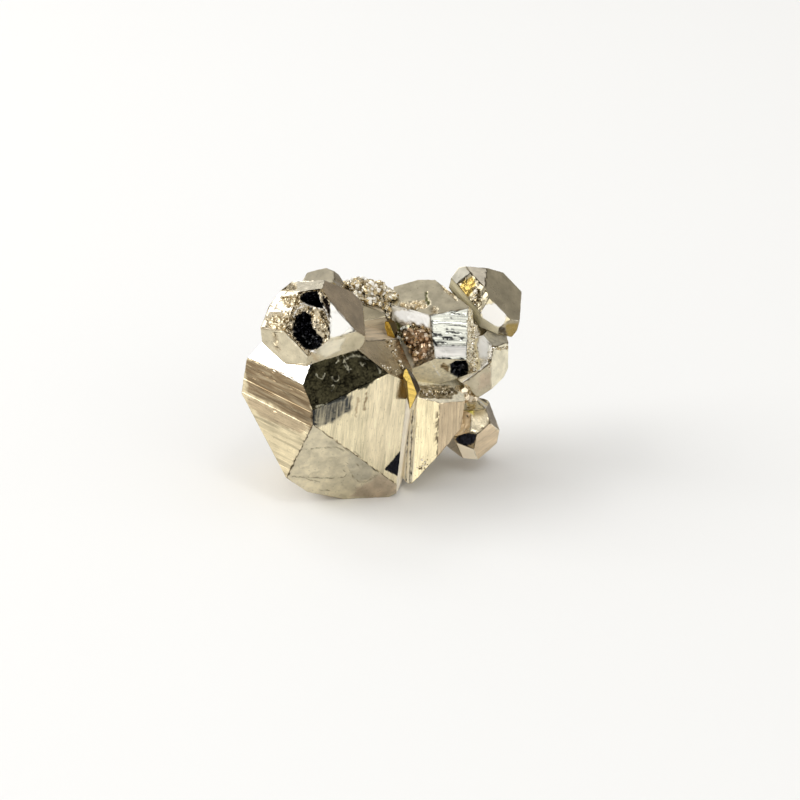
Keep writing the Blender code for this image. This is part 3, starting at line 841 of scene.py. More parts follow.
# Each face's tone is set to how light or dark that face looks from the front, so besides the metal's colour
# it holds painted light and shade: the darkest tones are painted dark reflections, the near-white dull ones
# painted highlights.
mainCrystal = {
    "seed": 3, "wear": 0.06, "rim": 0.1, "tone": (0.66, 0.55, 0.36), "rough": 0.17, "others": hiddenLooks,
    "faces": [
        {"at": (-128, 39), "look": "plain", "wave": 0.012, "tone": (0.95, 0.92, 0.85)},
        {"at": (-133, -1), "look": "striped", "edgeWith": (-128, 39), "plate": (0.2, 1.0), "rise": 0.05,
         "lean": 1.3, "tone": (0.92, 0.79, 0.52), "fine": 0.12, "shades": 0.7, "breaks": 5.0},
        # painted dark reflection: a near-black tone on this face
        {"at": (-69, 25), "look": "pitted", "tone": (0.058, 0.052, 0.028), "rough": 0.34, "depth": 0.3,
         "size": 0.55, "step": 0.09, "joints": 0.2, "blotch": 1.0, "cups": 0.5},
        {"at": (-61, -2), "look": "striped", "edgeWith": (-10, -6), "plate": (0.15, 0.9), "rise": 0.022,
         "lean": 1.0, "tone": (0.92, 0.81, 0.55), "fine": 0.15, "step": 0.16, "shades": 0.32},
        {"at": (-83, -24), "look": "terraced", "slope": (0.1, 0.3, 1), "tone": (0.74, 0.67, 0.5),
         "rough": 0.5, "width": 3.4, "rise": 0.05, "step": 0.13, "joints": 0.2},
        {"at": (-16, 50), "look": "plain", "wave": 0.005, "tone": (0.52, 0.42, 0.26), "rough": 0.25},
        {"at": (20, 71), "look": "striped", "edgeWith": (-16, 50), "plate": (0.15, 0.6), "rise": 0.03,
         "lean": 1.5, "tone": (0.76, 0.64, 0.47), "rough": 0.66, "shades": 0.6, "step": 0.2},
        {"at": (-10, -6), "look": "striped", "edgeWith": (-61, -2), "tone": (1.0, 0.93, 0.78),
         "rough": 0.72, "step": 0.2},
    ],
    "seams": [
        ("umber", 0.17, (-133, -1), (-83, -24)), ("crack", 0.13, (-61, -2), (-83, -24)),
        ("umber", 0.12, (-133, -1), (-69, 25)), ("umber", 0.12, (-69, 25), (-16, 50)),
        ("umber", 0.2, (-133, -1), (-61, -2)), ("cream", 0.14, (-61, -2), (-10, -6)),
        ("crack", 0.1, (-128, 39), (-133, -1)), ("umber", 0.12, (-16, 50), (20, 71)),
    ],
    "areas": [
        # painted darker reflection over the upper part of this striated face
        ("brown", 0.25, [(-19.9, -7.6, 20.9), (-11.7, -15.3, 22.1), (-10.0, -16.8, 18.9),
            (-10.0, -16.6, 14.1), (-13.2, -13.7, 14.8), (-19.6, -7.8, 16.1)]),
        ("tan", 0.25, [(-19.8, -7.6, 15.6), (-13.2, -13.7, 14.8), (-10.2, -16.4, 13.8),
            (-11.8, -14.9, 12.7), (-17.4, -9.8, 12.8), (-19.5, -7.9, 14.4)]),
        ("soot", 0.16, [(-10.4, -17.2, 19.1), (0.1, -11.5, 21.8), (-0.5, -11.8, 20.4),
            (-2.2, -12.7, 18.6), (-4.5, -14.0, 18.7), (-5.4, -14.4, 17.5), (-8.9, -16.3, 17.4),
            (-10.1, -17.0, 18.3)]),
        ("slate", 0.28, [(-10.0, -16.9, 17.9), (-4.2, -13.7, 17.9), (-4.5, -13.9, 15.8),
            (-5.6, -14.4, 15.2), (-6.6, -15.0, 14.6), (-9.2, -16.4, 14.2), (-9.9, -16.8, 14.8)]),
        # painted light: the right side of this face lighter
        ("peach", 0.5, [(-1.6, -12.4, 19.0), (0.1, -11.4, 19.7), (2.5, -10.1, 18.8), (2.9, -9.7, 12.2),
            (2.6, -9.7, 9.1), (-0.3, -11.2, 5.6), (-2.4, -12.5, 8.2), (-2.1, -12.5, 14.4)]),
        ("blackShade", 0.03, [(0.2, -11.0, 5.2), (2.7, -9.7, 7.8), (2.7, -9.6, 3.3)]),
        ("pink", 0.4, [(-3.1, -10.4, 2.5), (0.1, -11.2, 5.0), (2.7, -10.2, 3.6), (2.7, -9.2, 1.3),
            (-0.5, -8.9, -0.3), (-4.9, -9.8, 0.6)]),
        ("ash", 0.2, [(-4.8, -13.7, 9.2), (-3.1, -13.1, 8.3), (-1.4, -11.6, 5.5), (-2.2, -10.8, 3.6),
            (-4.0, -11.1, 3.7), (-5.1, -12.3, 6.1)]),
    ],
    "lines": [
        ("bright", 0.09, [(-19.6, -7.9, 20.6), (-15.3, -11.9, 20.2), (-11.7, -15.2, 19.8)]),
        ("bright", 0.1, [(-19.7, -7.8, 19.3), (-13.9, -13.2, 18.8), (-10.1, -16.6, 18.4)]),
        ("bright", 0.09, [(-19.3, -8.2, 17.4), (-16.1, -11.0, 17.1), (-14.4, -12.7, 16.6)]),
        ("bright", 0.09, [(-12.3, -14.6, 17.7), (-10.0, -16.7, 16.9)]),
        ("bright", 0.07, [(-18.4, -9.1, 21.6), (-14.3, -12.9, 21.2)]),
        ("crack", 0.08, [(-19.3, -8.0, 14.3), (-16.9, -10.2, 13.9), (-14.3, -12.7, 13.4)]),
        ("crack", 0.07, [(-19.7, -7.8, 18.1), (-13.2, -13.8, 17.4)]),
        ("crack", 0.06, [(-19.2, -8.3, 20.3), (-15.8, -11.4, 19.8)]),
        ("crack", 0.06, [(-18.9, -8.6, 21.0), (-14.3, -12.8, 20.5)]),
        ("pit", 0.15, [(-15.4, -11.6, 15.0), (-15.5, -11.6, 14.7)]),
        ("frost", 0.14, [(-7.6, -12.6, 23.9), (-7.1, -12.2, 24.2), (-6.4, -12.1, 23.9),
            (-6.1, -12.4, 23.1), (-6.5, -12.8, 22.5)]),
        ("frost", 0.15, [(-5.5, -12.5, 22.5), (-4.7, -11.8, 23.2), (-3.6, -11.4, 23.2),
            (-2.4, -11.2, 22.8), (-1.3, -11.0, 22.1), (-0.6, -11.2, 21.3), (-0.2, -11.4, 20.6)]),
        ("frost", 0.12, [(-9.2, -14.4, 21.5), (-8.9, -14.6, 20.9), (-8.3, -14.4, 20.8),
            (-8.1, -14.0, 21.3)]),
        ("frost", 0.13, [(-7.1, -13.9, 20.8), (-6.8, -14.1, 20.3), (-6.2, -13.8, 20.3),
            (-6.2, -13.6, 20.8)]),
        ("frost", 0.12, [(-7.3, -14.6, 19.7), (-6.9, -14.3, 19.9), (-6.8, -14.5, 19.4),
            (-7.2, -14.8, 19.1)]),
        ("frost", 0.12, [(-5.3, -12.6, 22.0), (-4.8, -12.7, 21.4), (-4.3, -12.5, 21.5)]),
        ("frost", 0.12, [(-4.4, -11.5, 23.7), (-3.7, -11.1, 24.0), (-3.0, -10.8, 23.9),
            (-2.4, -10.8, 23.4)]),
        ("frost", 0.12, [(-5.5, -12.0, 23.4), (-5.1, -12.4, 22.3), (-4.7, -12.8, 21.3)]),
        ("frost", 0.12, [(-3.1, -11.7, 22.2), (-2.9, -11.9, 21.7), (-2.4, -11.5, 22.0)]),
        ("blackShade", 0.35, [(-9.8, -16.9, 17.8), (-9.6, -16.6, 13.8)]),
        ("brown", 0.3, [(-2.3, -12.7, 18.1), (-2.7, -12.9, 15.4)]),
        ("tan", 0.25, [(-3.6, -13.4, 17.4), (-3.9, -13.5, 14.7)]),
        ("frost", 0.1, [(-4.4, -13.9, 18.5), (-4.4, -13.9, 17.8)]),
        ("frost", 0.2, [(-9.2, -16.5, 17.4), (-6.8, -15.2, 17.5), (-5.1, -14.3, 17.6)]),
        ("tan", 0.35, [(2.4, -9.9, 11.0), (2.1, -10.0, 8.4)]),
        ("growth", 0.11, [(-10.3, -14.8, 10.1), (-7.6, -14.5, 10.3), (-5.5, -14.0, 9.8),
            (-3.9, -13.3, 8.6)]),
        ("growth", 0.12, [(-13.1, -12.8, 4.9), (-10.6, -12.4, 4.7), (-8.4, -11.9, 4.2),
            (-5.8, -11.6, 4.2), (-5.2, -11.8, 5.0), (-5.7, -12.2, 5.8)]),
        ("growth", 0.12, [(-11.3, -12.4, 4.6), (-10.1, -12.0, 3.9), (-9.1, -11.7, 3.7)]),
        ("growth", 0.12, [(-4.8, -12.1, 5.7), (-4.1, -11.2, 3.9), (-3.1, -10.6, 2.9), (-1.7, -10.8, 3.7),
            (-0.5, -11.3, 5.0)]),
        ("growth", 0.08, [(-4.0, -10.3, 1.9), (-3.1, -10.5, 2.7)]),
        ("growth", 0.08, [(-9.2, -11.0, 2.1), (-7.7, -10.7, 1.8)]),
        ("growth", 0.11, [(-6.2, -14.1, 9.7), (-3.9, -13.5, 9.1), (-3.1, -12.9, 7.9)]),
        ("pit", 0.12, [(-3.6, -12.4, 6.6)]), ("growth", 0.1, [(-4.8, -12.5, 6.7), (-5.2, -12.8, 7.1)]),
        ("pit", 0.12, [(-1.5, -11.7, 5.7), (-0.9, -11.4, 5.3)]),
        ("crack", 0.09, [(-19.0, -8.5, 21.4), (-16.0, -11.2, 21.1), (-12.8, -14.2, 20.9)]),
        ("crack", 0.09, [(-19.6, -7.9, 19.8), (-15.5, -11.7, 19.4), (-12.4, -14.5, 19.0)]),
        ("umber", 0.08, [(-19.5, -8.0, 18.7), (-16.2, -11.0, 18.3), (-11.8, -15.1, 17.8)]),
        ("crack", 0.09, [(-17.9, -9.5, 16.7), (-14.0, -13.1, 16.2), (-10.6, -16.2, 15.9)]),
        ("umber", 0.08, [(-19.6, -7.9, 16.2), (-17.2, -10.1, 15.8)]),
        ("bright", 0.09, [(-17.0, -10.3, 18.0), (-13.6, -13.4, 17.5), (-11.7, -15.2, 17.3)]),
        ("bright", 0.09, [(-19.4, -8.1, 15.4), (-16.5, -10.7, 15.1)]),
    ],
    "crusts": [
        ("mixed", (0.15, 0.4), 60, 0.45, [(0.6, -3.3, 22.2), (1.4, -5.1, 21.2), (2.5, -7.1, 19.8),
            (3.2, -8.2, 19.0)]),
        ("mixed", (0.12, 0.3), 30, 0.35, [(-0.4, -11.4, 21.6), (2.0, -10.1, 20.1)]),
    ],
}
buildCrystal("main_crystal", mainCrystal)

upperLeftCrystal = {
    "seed": 5, "wear": 0.07, "rim": 0.12, "tone": (0.66, 0.56, 0.38), "rough": 0.18, "others": hiddenLooks,
    "faces": [
        {"at": (-148, 78), "look": "pitted", "depth": 0.06, "size": 0.8, "joints": 0.08, "blotch": 0.25,
         "tone": (0.78, 0.71, 0.55)},
        {"at": (-124, 30), "look": "vuggy", "lumps": 0.05, "tone": (0.62, 0.55, 0.43)},
        {"at": (-99, 26), "look": "vuggy", "lumps": 0.34, "step": 0.1, "size": 0.6,
         "tone": (0.55, 0.47, 0.33)},
        {"at": (-122, -2), "look": "plain", "wave": 0.02, "tone": (0.72, 0.64, 0.46)},
        {"at": (-14, 41), "look": "plain", "wave": 0.004, "tone": (0.42, 0.33, 0.21), "rough": 0.25},
        {"at": (-70, 25), "look": "plain", "wave": 0.01, "tone": (0.8, 0.78, 0.72)},
        {"at": (-64, -16), "look": "plain", "wave": 0.03, "tone": (0.68, 0.6, 0.42)},
    ],
    "seams": [
        ("umber", 0.1, (-14, 41), (-70, 25)), ("crack", 0.1, (-14, 41), (-148, 78)),
        ("cream", 0.13, (-70, 25), (-64, -16)), ("cream", 0.13, (-99, 26), (-122, -2)),
        ("crack", 0.1, (-14, 41), (-64, -16)), ("crack", 0.1, (-124, 30), (-122, -2)),
    ],
    "areas": [
        ("shadedVoid", 0.12, [(-11.7, -10.4, 31.4), (-11.3, -10.2, 32.1), (-10.6, -10.1, 32.3),
            (-9.3, -10.3, 32.4), (-8.9, -10.8, 31.5), (-8.2, -11.6, 30.2), (-10.0, -11.2, 30.5),
            (-11.3, -10.7, 30.9)]),
        ("shadedVoid", 0.16, [(-12.4, -11.5, 29.1), (-11.3, -11.3, 29.8), (-10.1, -11.7, 29.3),
            (-10.0, -12.3, 28.1), (-9.1, -13.1, 26.8), (-8.4, -13.4, 26.5), (-8.7, -13.9, 25.3),
            (-10.0, -13.9, 24.9), (-11.0, -13.7, 25.0), (-12.1, -13.1, 25.9), (-12.8, -12.5, 26.9)]),
        ("satinSheen", 0.05, [(-7.3, -11.8, 30.1), (-6.3, -11.6, 29.7), (-4.4, -11.9, 27.6),
            (-6.1, -13.0, 26.7), (-7.3, -13.5, 26.7)]),
        ("slit", 0.08, [(-8.7, -10.5, 32.3), (-7.9, -11.1, 31.3), (-7.3, -11.8, 30.1),
            (-7.3, -12.3, 29.0), (-7.7, -12.0, 29.5), (-8.3, -11.2, 30.9)]),
        ("grains", 0.2, [(-16.6, -9.7, 28.1), (-15.3, -9.9, 29.0), (-13.1, -11.0, 29.5),
            (-12.7, -11.9, 28.6), (-13.1, -12.4, 27.5), (-15.3, -11.4, 26.9), (-16.4, -10.4, 27.2)]),
        ("grains", 0.2, [(-14.1, -9.1, 31.2), (-12.3, -10.1, 31.6), (-12.0, -11.0, 30.6),
            (-13.4, -10.5, 29.9), (-14.3, -9.7, 30.2)]),
        ("gravel", 0.12, [(-15.7, -11.1, 26.7), (-14.8, -11.6, 26.4), (-14.7, -11.6, 23.7),
            (-15.3, -11.2, 23.9)]),
        ("cream", 0.2, [(-8.6, -14.0, 26.2), (-5.4, -12.5, 26.2), (-6.1, -12.2, 24.2),
            (-8.2, -12.9, 23.3), (-9.1, -13.8, 24.6)]),
        ("gravel", 0.2, [(-14.6, -8.4, 31.9), (-13.7, -6.6, 32.3), (-12.2, -7.1, 32.5),
            (-12.3, -9.0, 32.2), (-13.8, -9.6, 31.9)]),
    ],
    "lines": [
        ("pearlSheen", 0.14, [(-11.6, -10.8, 30.8), (-10.0, -11.2, 30.5), (-8.6, -11.5, 30.2),
            (-7.9, -12.0, 29.6), (-7.5, -12.4, 28.8)]),
        ("pearlSheen", 0.13, [(-12.7, -11.4, 29.1), (-12.1, -11.1, 30.0), (-11.3, -11.0, 30.4)]),
        ("bright", 0.16, [(-9.9, -11.4, 30.0), (-9.6, -12.0, 29.0), (-9.7, -12.6, 27.7),
            (-10.3, -13.0, 26.7)]),
        ("bright", 0.15, [(-9.1, -12.0, 29.0), (-8.6, -12.7, 27.9), (-7.7, -13.3, 26.9)]),
        ("umber", 0.2, [(-8.9, -11.6, 29.7), (-8.0, -12.4, 28.4), (-7.5, -12.9, 27.6)]),
        ("cream", 0.15, [(-10.8, -11.8, 28.9), (-10.1, -12.4, 27.9), (-9.7, -13.1, 26.7)]),
        ("cream", 0.15, [(-9.1, -12.2, 28.7), (-8.2, -13.0, 27.4), (-7.4, -13.8, 25.9)]),
        ("pearlSheen", 0.16, [(-10.3, -13.9, 24.9), (-9.4, -14.1, 24.7)]),
        ("pearlSheen", 0.12, [(-9.3, -10.3, 32.4), (-8.9, -10.9, 31.3), (-8.0, -11.7, 29.9)]),
        ("umber", 0.14, [(-16.0, -10.3, 27.8)]), ("umber", 0.14, [(-14.8, -10.8, 28.1)]),
        ("umber", 0.16, [(-14.0, -11.4, 28.2)]), ("umber", 0.12, [(-15.1, -11.2, 27.3)]),
        ("oldGold", 0.2, [(-13.8, -9.9, 30.4)]), ("oldGold", 0.14, [(-13.1, -9.7, 31.4)]),
        ("pit", 0.1, [(-14.2, -11.9, 23.8), (-14.2, -11.9, 24.1)]),
        ("blackShade", 0.1, [(-5.9, -12.8, 26.4), (-3.7, -12.0, 27.2)]),
        ("tan", 0.4, [(-10.0, -14.2, 24.7), (-9.2, -13.2, 22.8)]),
    ],
}
buildCrystal("upper_left_crystal", upperLeftCrystal)

centreCrystal = {
    "seed": 8, "wear": 0.06, "tone": (0.62, 0.55, 0.38), "rough": 0.2, "others": hiddenLooks,
    "faces": [
        {"at": (-104, 73), "look": "plain", "wave": 0.03, "tone": (0.56, 0.5, 0.36), "rough": 0.3,
         "step": 0.15},
        {"at": (-117, 20), "look": "vuggy", "lumps": 0.05, "tone": (0.8, 0.76, 0.66), "rough": 0.66,
         "step": 0.14},
        {"at": (-84, 26), "look": "striped", "edgeWith": (-88, -27), "plate": (0.08, 0.35), "rise": 0.1,
         "lean": 9, "riser": 0.07, "breaks": 1.6, "tone": (0.7, 0.71, 0.64), "step": 0.16, "shades": 0.6},
        {"at": (-88, -27), "look": "pitted", "depth": 0.1, "size": 0.6, "joints": 0.08, "blotch": 0.3,
         "tone": (0.92, 0.84, 0.62), "rough": 0.7, "step": 0.12},
        {"at": (-32, 13), "look": "vuggy", "lumps": 0.25, "size": 0.5, "tone": (0.86, 0.79, 0.62)},
    ],
    "seams": [
        ("crack", 0.12, (-104, 73), (-84, 26)), ("umber", 0.12, (-104, 73), (-117, 20)),
        ("umber", 0.12, (-84, 26), (-32, 13)), ("crack", 0.11, (-84, 26), (-117, 20)),
        ("blackShade", 0.15, (-84, 26), (-88, -27)),
    ],
    "areas": [
        ("satinSheen", 0.12, [(1.5, 3.8, 24.2), (5.9, 1.9, 25.2), (6.7, 1.1, 24.1), (6.5, 0.7, 22.7),
            (4.6, 1.5, 22.4), (1.6, 3.5, 23.6)]),
        ("olive", 0.2, [(1.7, 3.2, 23.0), (2.7, 2.5, 22.4), (2.7, 2.0, 21.2), (2.1, 2.1, 20.7),
            (1.4, 2.7, 21.4)]),
        ("pearlSheen", 0.1, [(7.3, -0.7, 20.4), (12.0, -0.3, 20.2), (12.0, -1.0, 18.9), (7.6, -1.4, 19.0)]),
        ("grains", 0.15, [(2.4, 4.6, 25.1), (6.0, 4.9, 25.5), (6.5, 3.0, 24.9), (2.7, 2.7, 24.6)]),
        ("rubble", 0.35, [(2.4, 2.8, 22.8), (2.9, 1.7, 20.5), (4.7, -0.7, 16.9), (7.7, -1.9, 18.2),
            (7.8, -0.1, 21.6), (5.8, 1.2, 22.8)]),
        ("gravel", 0.3, [(6.8, 2.7, 24.9), (7.3, 3.1, 25.0), (7.9, 2.1, 24.8), (7.8, 1.0, 24.4),
            (6.9, 1.3, 24.5)]),
        ("gravel", 0.2, [(8.3, 9.1, 26.9), (10.0, 7.5, 26.5), (10.6, 4.4, 25.7), (9.1, 6.4, 26.2)]),
        ("tan", 0.2, [(4.0, 2.1, 23.1), (6.7, 0.4, 22.5), (7.0, -0.4, 20.9), (6.0, -0.5, 19.4),
            (4.1, 0.8, 20.0)]),
        ("shadedVoid", 0.1, [(9.7, -0.8, 17.5), (10.5, -1.1, 18.2), (12.0, -1.1, 18.2), (12.4, -0.6, 17.2),
            (12.5, 0.0, 16.0), (12.1, 0.6, 14.9), (10.7, 0.6, 14.9), (9.8, 0.1, 15.7)]),
        ("tan", 0.15, [(8.6, -1.1, 18.1), (9.7, -0.5, 16.9), (9.4, -0.1, 16.1), (8.4, -0.6, 17.0)]),
        ("grains", 0.15, [(12.4, -1.0, 18.0), (13.8, -0.7, 17.6), (14.1, 0.9, 14.4), (12.7, 1.3, 13.7)]),
        ("grains", 0.2, [(12.3, 1.3, 23.4), (13.7, 1.2, 22.9), (13.7, -0.8, 18.9), (12.6, -0.9, 18.9)]),
    ],
    "lines": [
        ("olive", 0.3, [(6.3, 6.5, 26.0), (6.3, 5.3, 25.6), (6.5, 3.7, 25.1)]),
        ("cream", 0.3, [(3.7, 4.0, 25.0), (4.4, 4.3, 25.2), (5.3, 3.5, 25.0)]),
        ("pit", 0.2, [(3.5, 3.5, 24.9)]), ("pit", 0.18, [(4.3, 3.7, 25.0)]),
        ("pit", 0.18, [(5.3, 3.3, 25.0)]), ("pearlSheen", 0.16, [(4.7, 4.2, 25.2), (5.1, 4.0, 25.1)]),
        ("pearlSheen", 0.12, [(6.6, 3.5, 25.0)]), ("umber", 0.3, [(7.2, 2.0, 24.7), (7.5, 1.8, 24.6)]),
        ("pearlSheen", 0.12, [(7.5, 2.1, 24.8)]), ("blackShade", 0.14, [(7.9, -1.3, 18.9), (12.0, -1.2, 18.5)]),
        ("blackShade", 0.09, [(9.4, 1.6, 24.7), (11.4, 1.7, 24.5)]),
        ("blackShade", 0.09, [(9.2, 1.4, 24.1), (11.6, 1.5, 23.9)]),
        ("blackShade", 0.09, [(8.8, 0.5, 22.6), (10.5, 0.7, 22.5)]),
        ("blackShade", 0.12, [(9.1, 0.4, 22.2), (12.0, 0.6, 21.9)]),
        ("blackShade", 0.22, [(6.9, -0.1, 21.7), (8.2, 0.1, 21.8)]),
        ("blackShade", 0.2, [(8.6, 0.0, 21.5), (9.9, 0.1, 21.5)]),
        ("blackShade", 0.16, [(10.4, 0.2, 21.6), (12.0, 0.2, 21.3)]),
        ("blackShade", 0.1, [(7.8, -0.4, 20.8), (9.1, -0.3, 20.7)]),
        ("blackShade", 0.14, [(9.9, -0.4, 20.4), (10.8, -0.4, 20.3)]),
        ("blackShade", 0.2, [(7.2, -0.3, 21.2), (7.8, -0.6, 20.5)]),
        ("blackShade", 0.13, [(8.9, -0.8, 19.8), (9.5, -0.8, 19.7)]),
        ("blackShade", 0.15, [(7.0, 0.2, 22.2), (7.8, 0.1, 22.0)]),
        ("blackShade", 0.08, [(9.2, 1.8, 25.1), (10.8, 1.9, 24.9)]),
        ("blackShade", 0.08, [(10.4, 0.9, 23.0), (12.1, 1.0, 22.9)]),
        ("pearlSheen", 0.1, [(6.9, -1.2, 18.1), (8.2, 0.3, 15.3)]),
    ],
    "crusts": [
        ("mixed", (0.12, 0.32), 90, 0.5, [(13.0, 1.2, 23.2), (13.2, -0.8, 18.9), (13.3, 0.2, 15.5)]),
        ("mixed", (0.1, 0.26), 25, 0.3, [(2.6, 3.0, 24.7), (6.2, 3.3, 24.9)]),
        ("pale", (0.25, 0.7), 70, 0.7, [(1.4, 1.7, 19.8), (2.1, 1.7, 20.5), (2.9, 1.7, 21.6),
            (4.0, 1.5, 22.6)]),
    ],
}
buildCrystal("centre_crystal", centreCrystal)

upperRightCrystal = {
    "seed": 9, "wear": 0.05, "tone": (0.6, 0.53, 0.35), "rough": 0.18, "others": hiddenLooks,
    "faces": [
        {"at": (-150, -14), "look": "striped", "edgeWith": (-124, 30), "plate": (0.12, 0.4), "rise": 0.05,
         "lean": 4, "tone": (0.82, 0.76, 0.54), "rough": 0.7},
        {"at": (-118, -30), "look": "plain", "tone": (0.8, 0.74, 0.56), "rough": 0.7},
        {"at": (-128, 33), "look": "plain", "wave": 0.02, "tone": (0.18, 0.17, 0.14)},
        {"at": (-61, 65), "look": "plain", "wave": 0.03, "tone": (0.92, 0.84, 0.68), "rough": 0.3},
        {"at": (-124, 30), "look": "vuggy", "lumps": 0.2, "size": 1.5, "tone": (0.42, 0.37, 0.26),
         "step": 0.1},
        {"at": (-28, 44), "look": "plain", "wave": 0.02, "tone": (0.46, 0.4, 0.27), "rough": 0.28},
        {"at": (-86, 14), "look": "plain", "wave": 0.01, "tone": (0.72, 0.64, 0.44), "step": 0.14},
        {"at": (-56, -29), "look": "plain", "wave": 0.04, "tone": (0.5, 0.43, 0.29), "step": 0.15},
    ],
    "seams": [
        ("umber", 0.12, (-28, 44), (-61, 65)), ("umber", 0.11, (-28, 44), (-86, 14)),
        ("umber", 0.14, (-61, 65), (-124, 30)), ("umber", 0.12, (-124, 30), (-86, 14)),
        ("cream", 0.12, (-28, 44), (-56, -29)), ("umber", 0.1, (-86, 14), (-56, -29)),
        ("umber", 0.14, (-61, 65), (-128, 33)),
    ],
    "areas": [
        ("honey", 0.1, [(10.8, 6.8, 26.5), (11.6, 7.0, 27.7), (12.7, 6.9, 28.5), (13.3, 6.3, 28.2),
            (13.4, 5.5, 27.3), (12.6, 5.4, 26.2), (11.8, 5.3, 25.3)]),
        ("pearlSheen", 0.07, [(14.2, 3.0, 24.5), (14.8, 3.3, 25.3), (16.1, 3.4, 25.5), (17.4, 3.4, 25.1),
            (18.0, 3.1, 23.9), (17.7, 2.8, 22.7), (17.0, 2.6, 22.1), (15.5, 2.6, 22.6), (14.5, 2.8, 23.4)]),
        ("honey", 0.25, [(17.9, 2.9, 22.3), (19.6, 4.1, 22.1), (20.2, 5.8, 20.4), (19.1, 5.7, 19.3),
            (17.8, 4.0, 20.6)]),
        ("umber", 0.2, [(16.0, 1.4, 22.9), (17.8, 3.2, 21.7), (18.5, 5.3, 19.3), (17.2, 3.5, 20.8),
            (15.5, 0.9, 22.9)]),
        ("grains", 0.12, [(13.0, 3.3, 26.0), (14.4, 3.3, 25.7), (14.1, 3.0, 24.6), (13.2, 3.1, 24.9)]),
    ],
    "lines": [
        ("umber", 0.35, [(9.8, 10.0, 25.2), (11.5, 7.6, 23.9), (13.0, 6.2, 21.5)]),
        ("pearlSheen", 0.1, [(11.8, 7.2, 23.7), (13.0, 5.8, 22.3)]),
        ("umber", 0.12, [(10.9, 7.0, 26.9), (12.1, 6.8, 27.7), (13.2, 6.2, 28.1)]),
        ("bright", 0.12, [(11.1, 6.5, 26.3), (12.4, 6.2, 27.2), (13.4, 5.7, 27.5)]),
        ("umber", 0.14, [(11.8, 5.5, 25.6), (12.6, 5.6, 26.6), (13.2, 5.6, 27.1)]),
    ],
    "crusts": [("mixed", (0.2, 0.6), 30, 0.3, [(13.4, 5.4, 27.3), (13.4, 3.6, 25.6)])],
}
buildCrystal("upper_right_crystal", upperRightCrystal)

rightFrontCrystal = {
    "seed": 12, "wear": 0.05, "tone": (0.66, 0.57, 0.38), "rough": 0.17, "others": hiddenLooks,
    "faces": [
        {"at": (-89, 19), "look": "striped", "edgeWith": (-63, 16), "plate": (0.15, 0.7), "rise": 0.02,
         "lean": 0.9, "tone": (0.76, 0.66, 0.43), "step": 0.2, "shades": 0.35},
        {"at": (-63, 16), "look": "striped", "edgeWith": (-89, 19), "plate": (0.15, 0.6), "rise": 0.03,
         "lean": 1.2, "tone": (0.47, 0.375, 0.25), "step": 0.2, "shades": 0.4},
        {"at": (-47, 70), "look": "pitted", "depth": 0.12, "size": 0.5, "joints": 0.08, "blotch": 0.35,
         "tone": (1.0, 0.94, 0.76), "rough": 0.8, "step": 0.11},
        {"at": (-156, 11), "look": "striped", "edgeWith": (-89, 19), "plate": (0.3, 0.8), "rise": 0.12,
         "lean": 3, "tone": (0.95, 0.91, 0.8), "rough": 0.74, "step": 0.15, "fine": 0.15, "shades": 0.5},
        {"at": (-34, 76), "look": "pitted", "depth": 0.08, "size": 0.5, "joints": 0.06, "blotch": 0.3,
         "tone": (1.0, 0.95, 0.76), "rough": 0.8},
    ],
    "seams": [
        ("crack", 0.11, (-89, 19), (-63, 16)), ("cream", 0.13, (-89, 19), (-156, 11)),
        ("bright", 0.12, (-89, 19), (-47, 70)), ("bright", 0.1, (-63, 16), (-47, 70)),
    ],
    "areas": [
        ("gravel", 0.2, [(5.0, -0.2, 14.3), (9.7, 1.5, 13.6), (10.9, 0.0, 12.9), (9.7, -1.9, 12.7),
            (5.3, -3.2, 13.4)]),
    ],
    "lines": [
        ("blackShade", 0.2, [(3.8, -2.6, 10.7), (3.5, -3.8, 6.9), (3.3, -5.9, 1.4)]),
        ("blackShade", 0.2, [(4.4, -3.5, 11.5), (4.1, -4.9, 7.3), (3.8, -7.1, 1.5)]),
        ("brown", 0.3, [(2.7, -2.0, 6.7), (2.2, -2.2, 4.3)]), ("umber", 0.16, [(6.2, -6.4, 4.3)]),
        ("umber", 0.14, [(5.7, -6.8, 3.4)]),
        ("cream", 0.2, [(3.5, -1.7, 14.2), (4.7, -0.3, 14.3), (6.5, -0.7, 13.8), (8.2, -1.0, 13.3)]),
        ("cream", 0.17, [(5.5, 3.8, 15.2), (6.2, 2.1, 14.6), (6.5, 0.5, 14.1)]),
        ("crack", 0.07, [(7.8, -3.4, 13.3), (7.8, -5.9, 5.9)]),
    ],
    "crusts": [
        ("mixed", (0.12, 0.4), 110, 0.55, [(4.6, -2.4, 13.9), (7.2, -1.8, 13.5), (10.2, -0.6, 13.0)]),
        ("mixed", (0.12, 0.34), 34, 0.45, [(5.2, -6.7, 3.6), (6.2, -6.5, 4.2)]),
        ("stone", (0.9, 1.9), 26, 0.7, [(11.0, 0.6, 12.6), (12.4, 1.6, 11.8), (13.6, 2.6, 11.2)]),
    ],
}
buildCrystal("right_front_crystal", rightFrontCrystal)

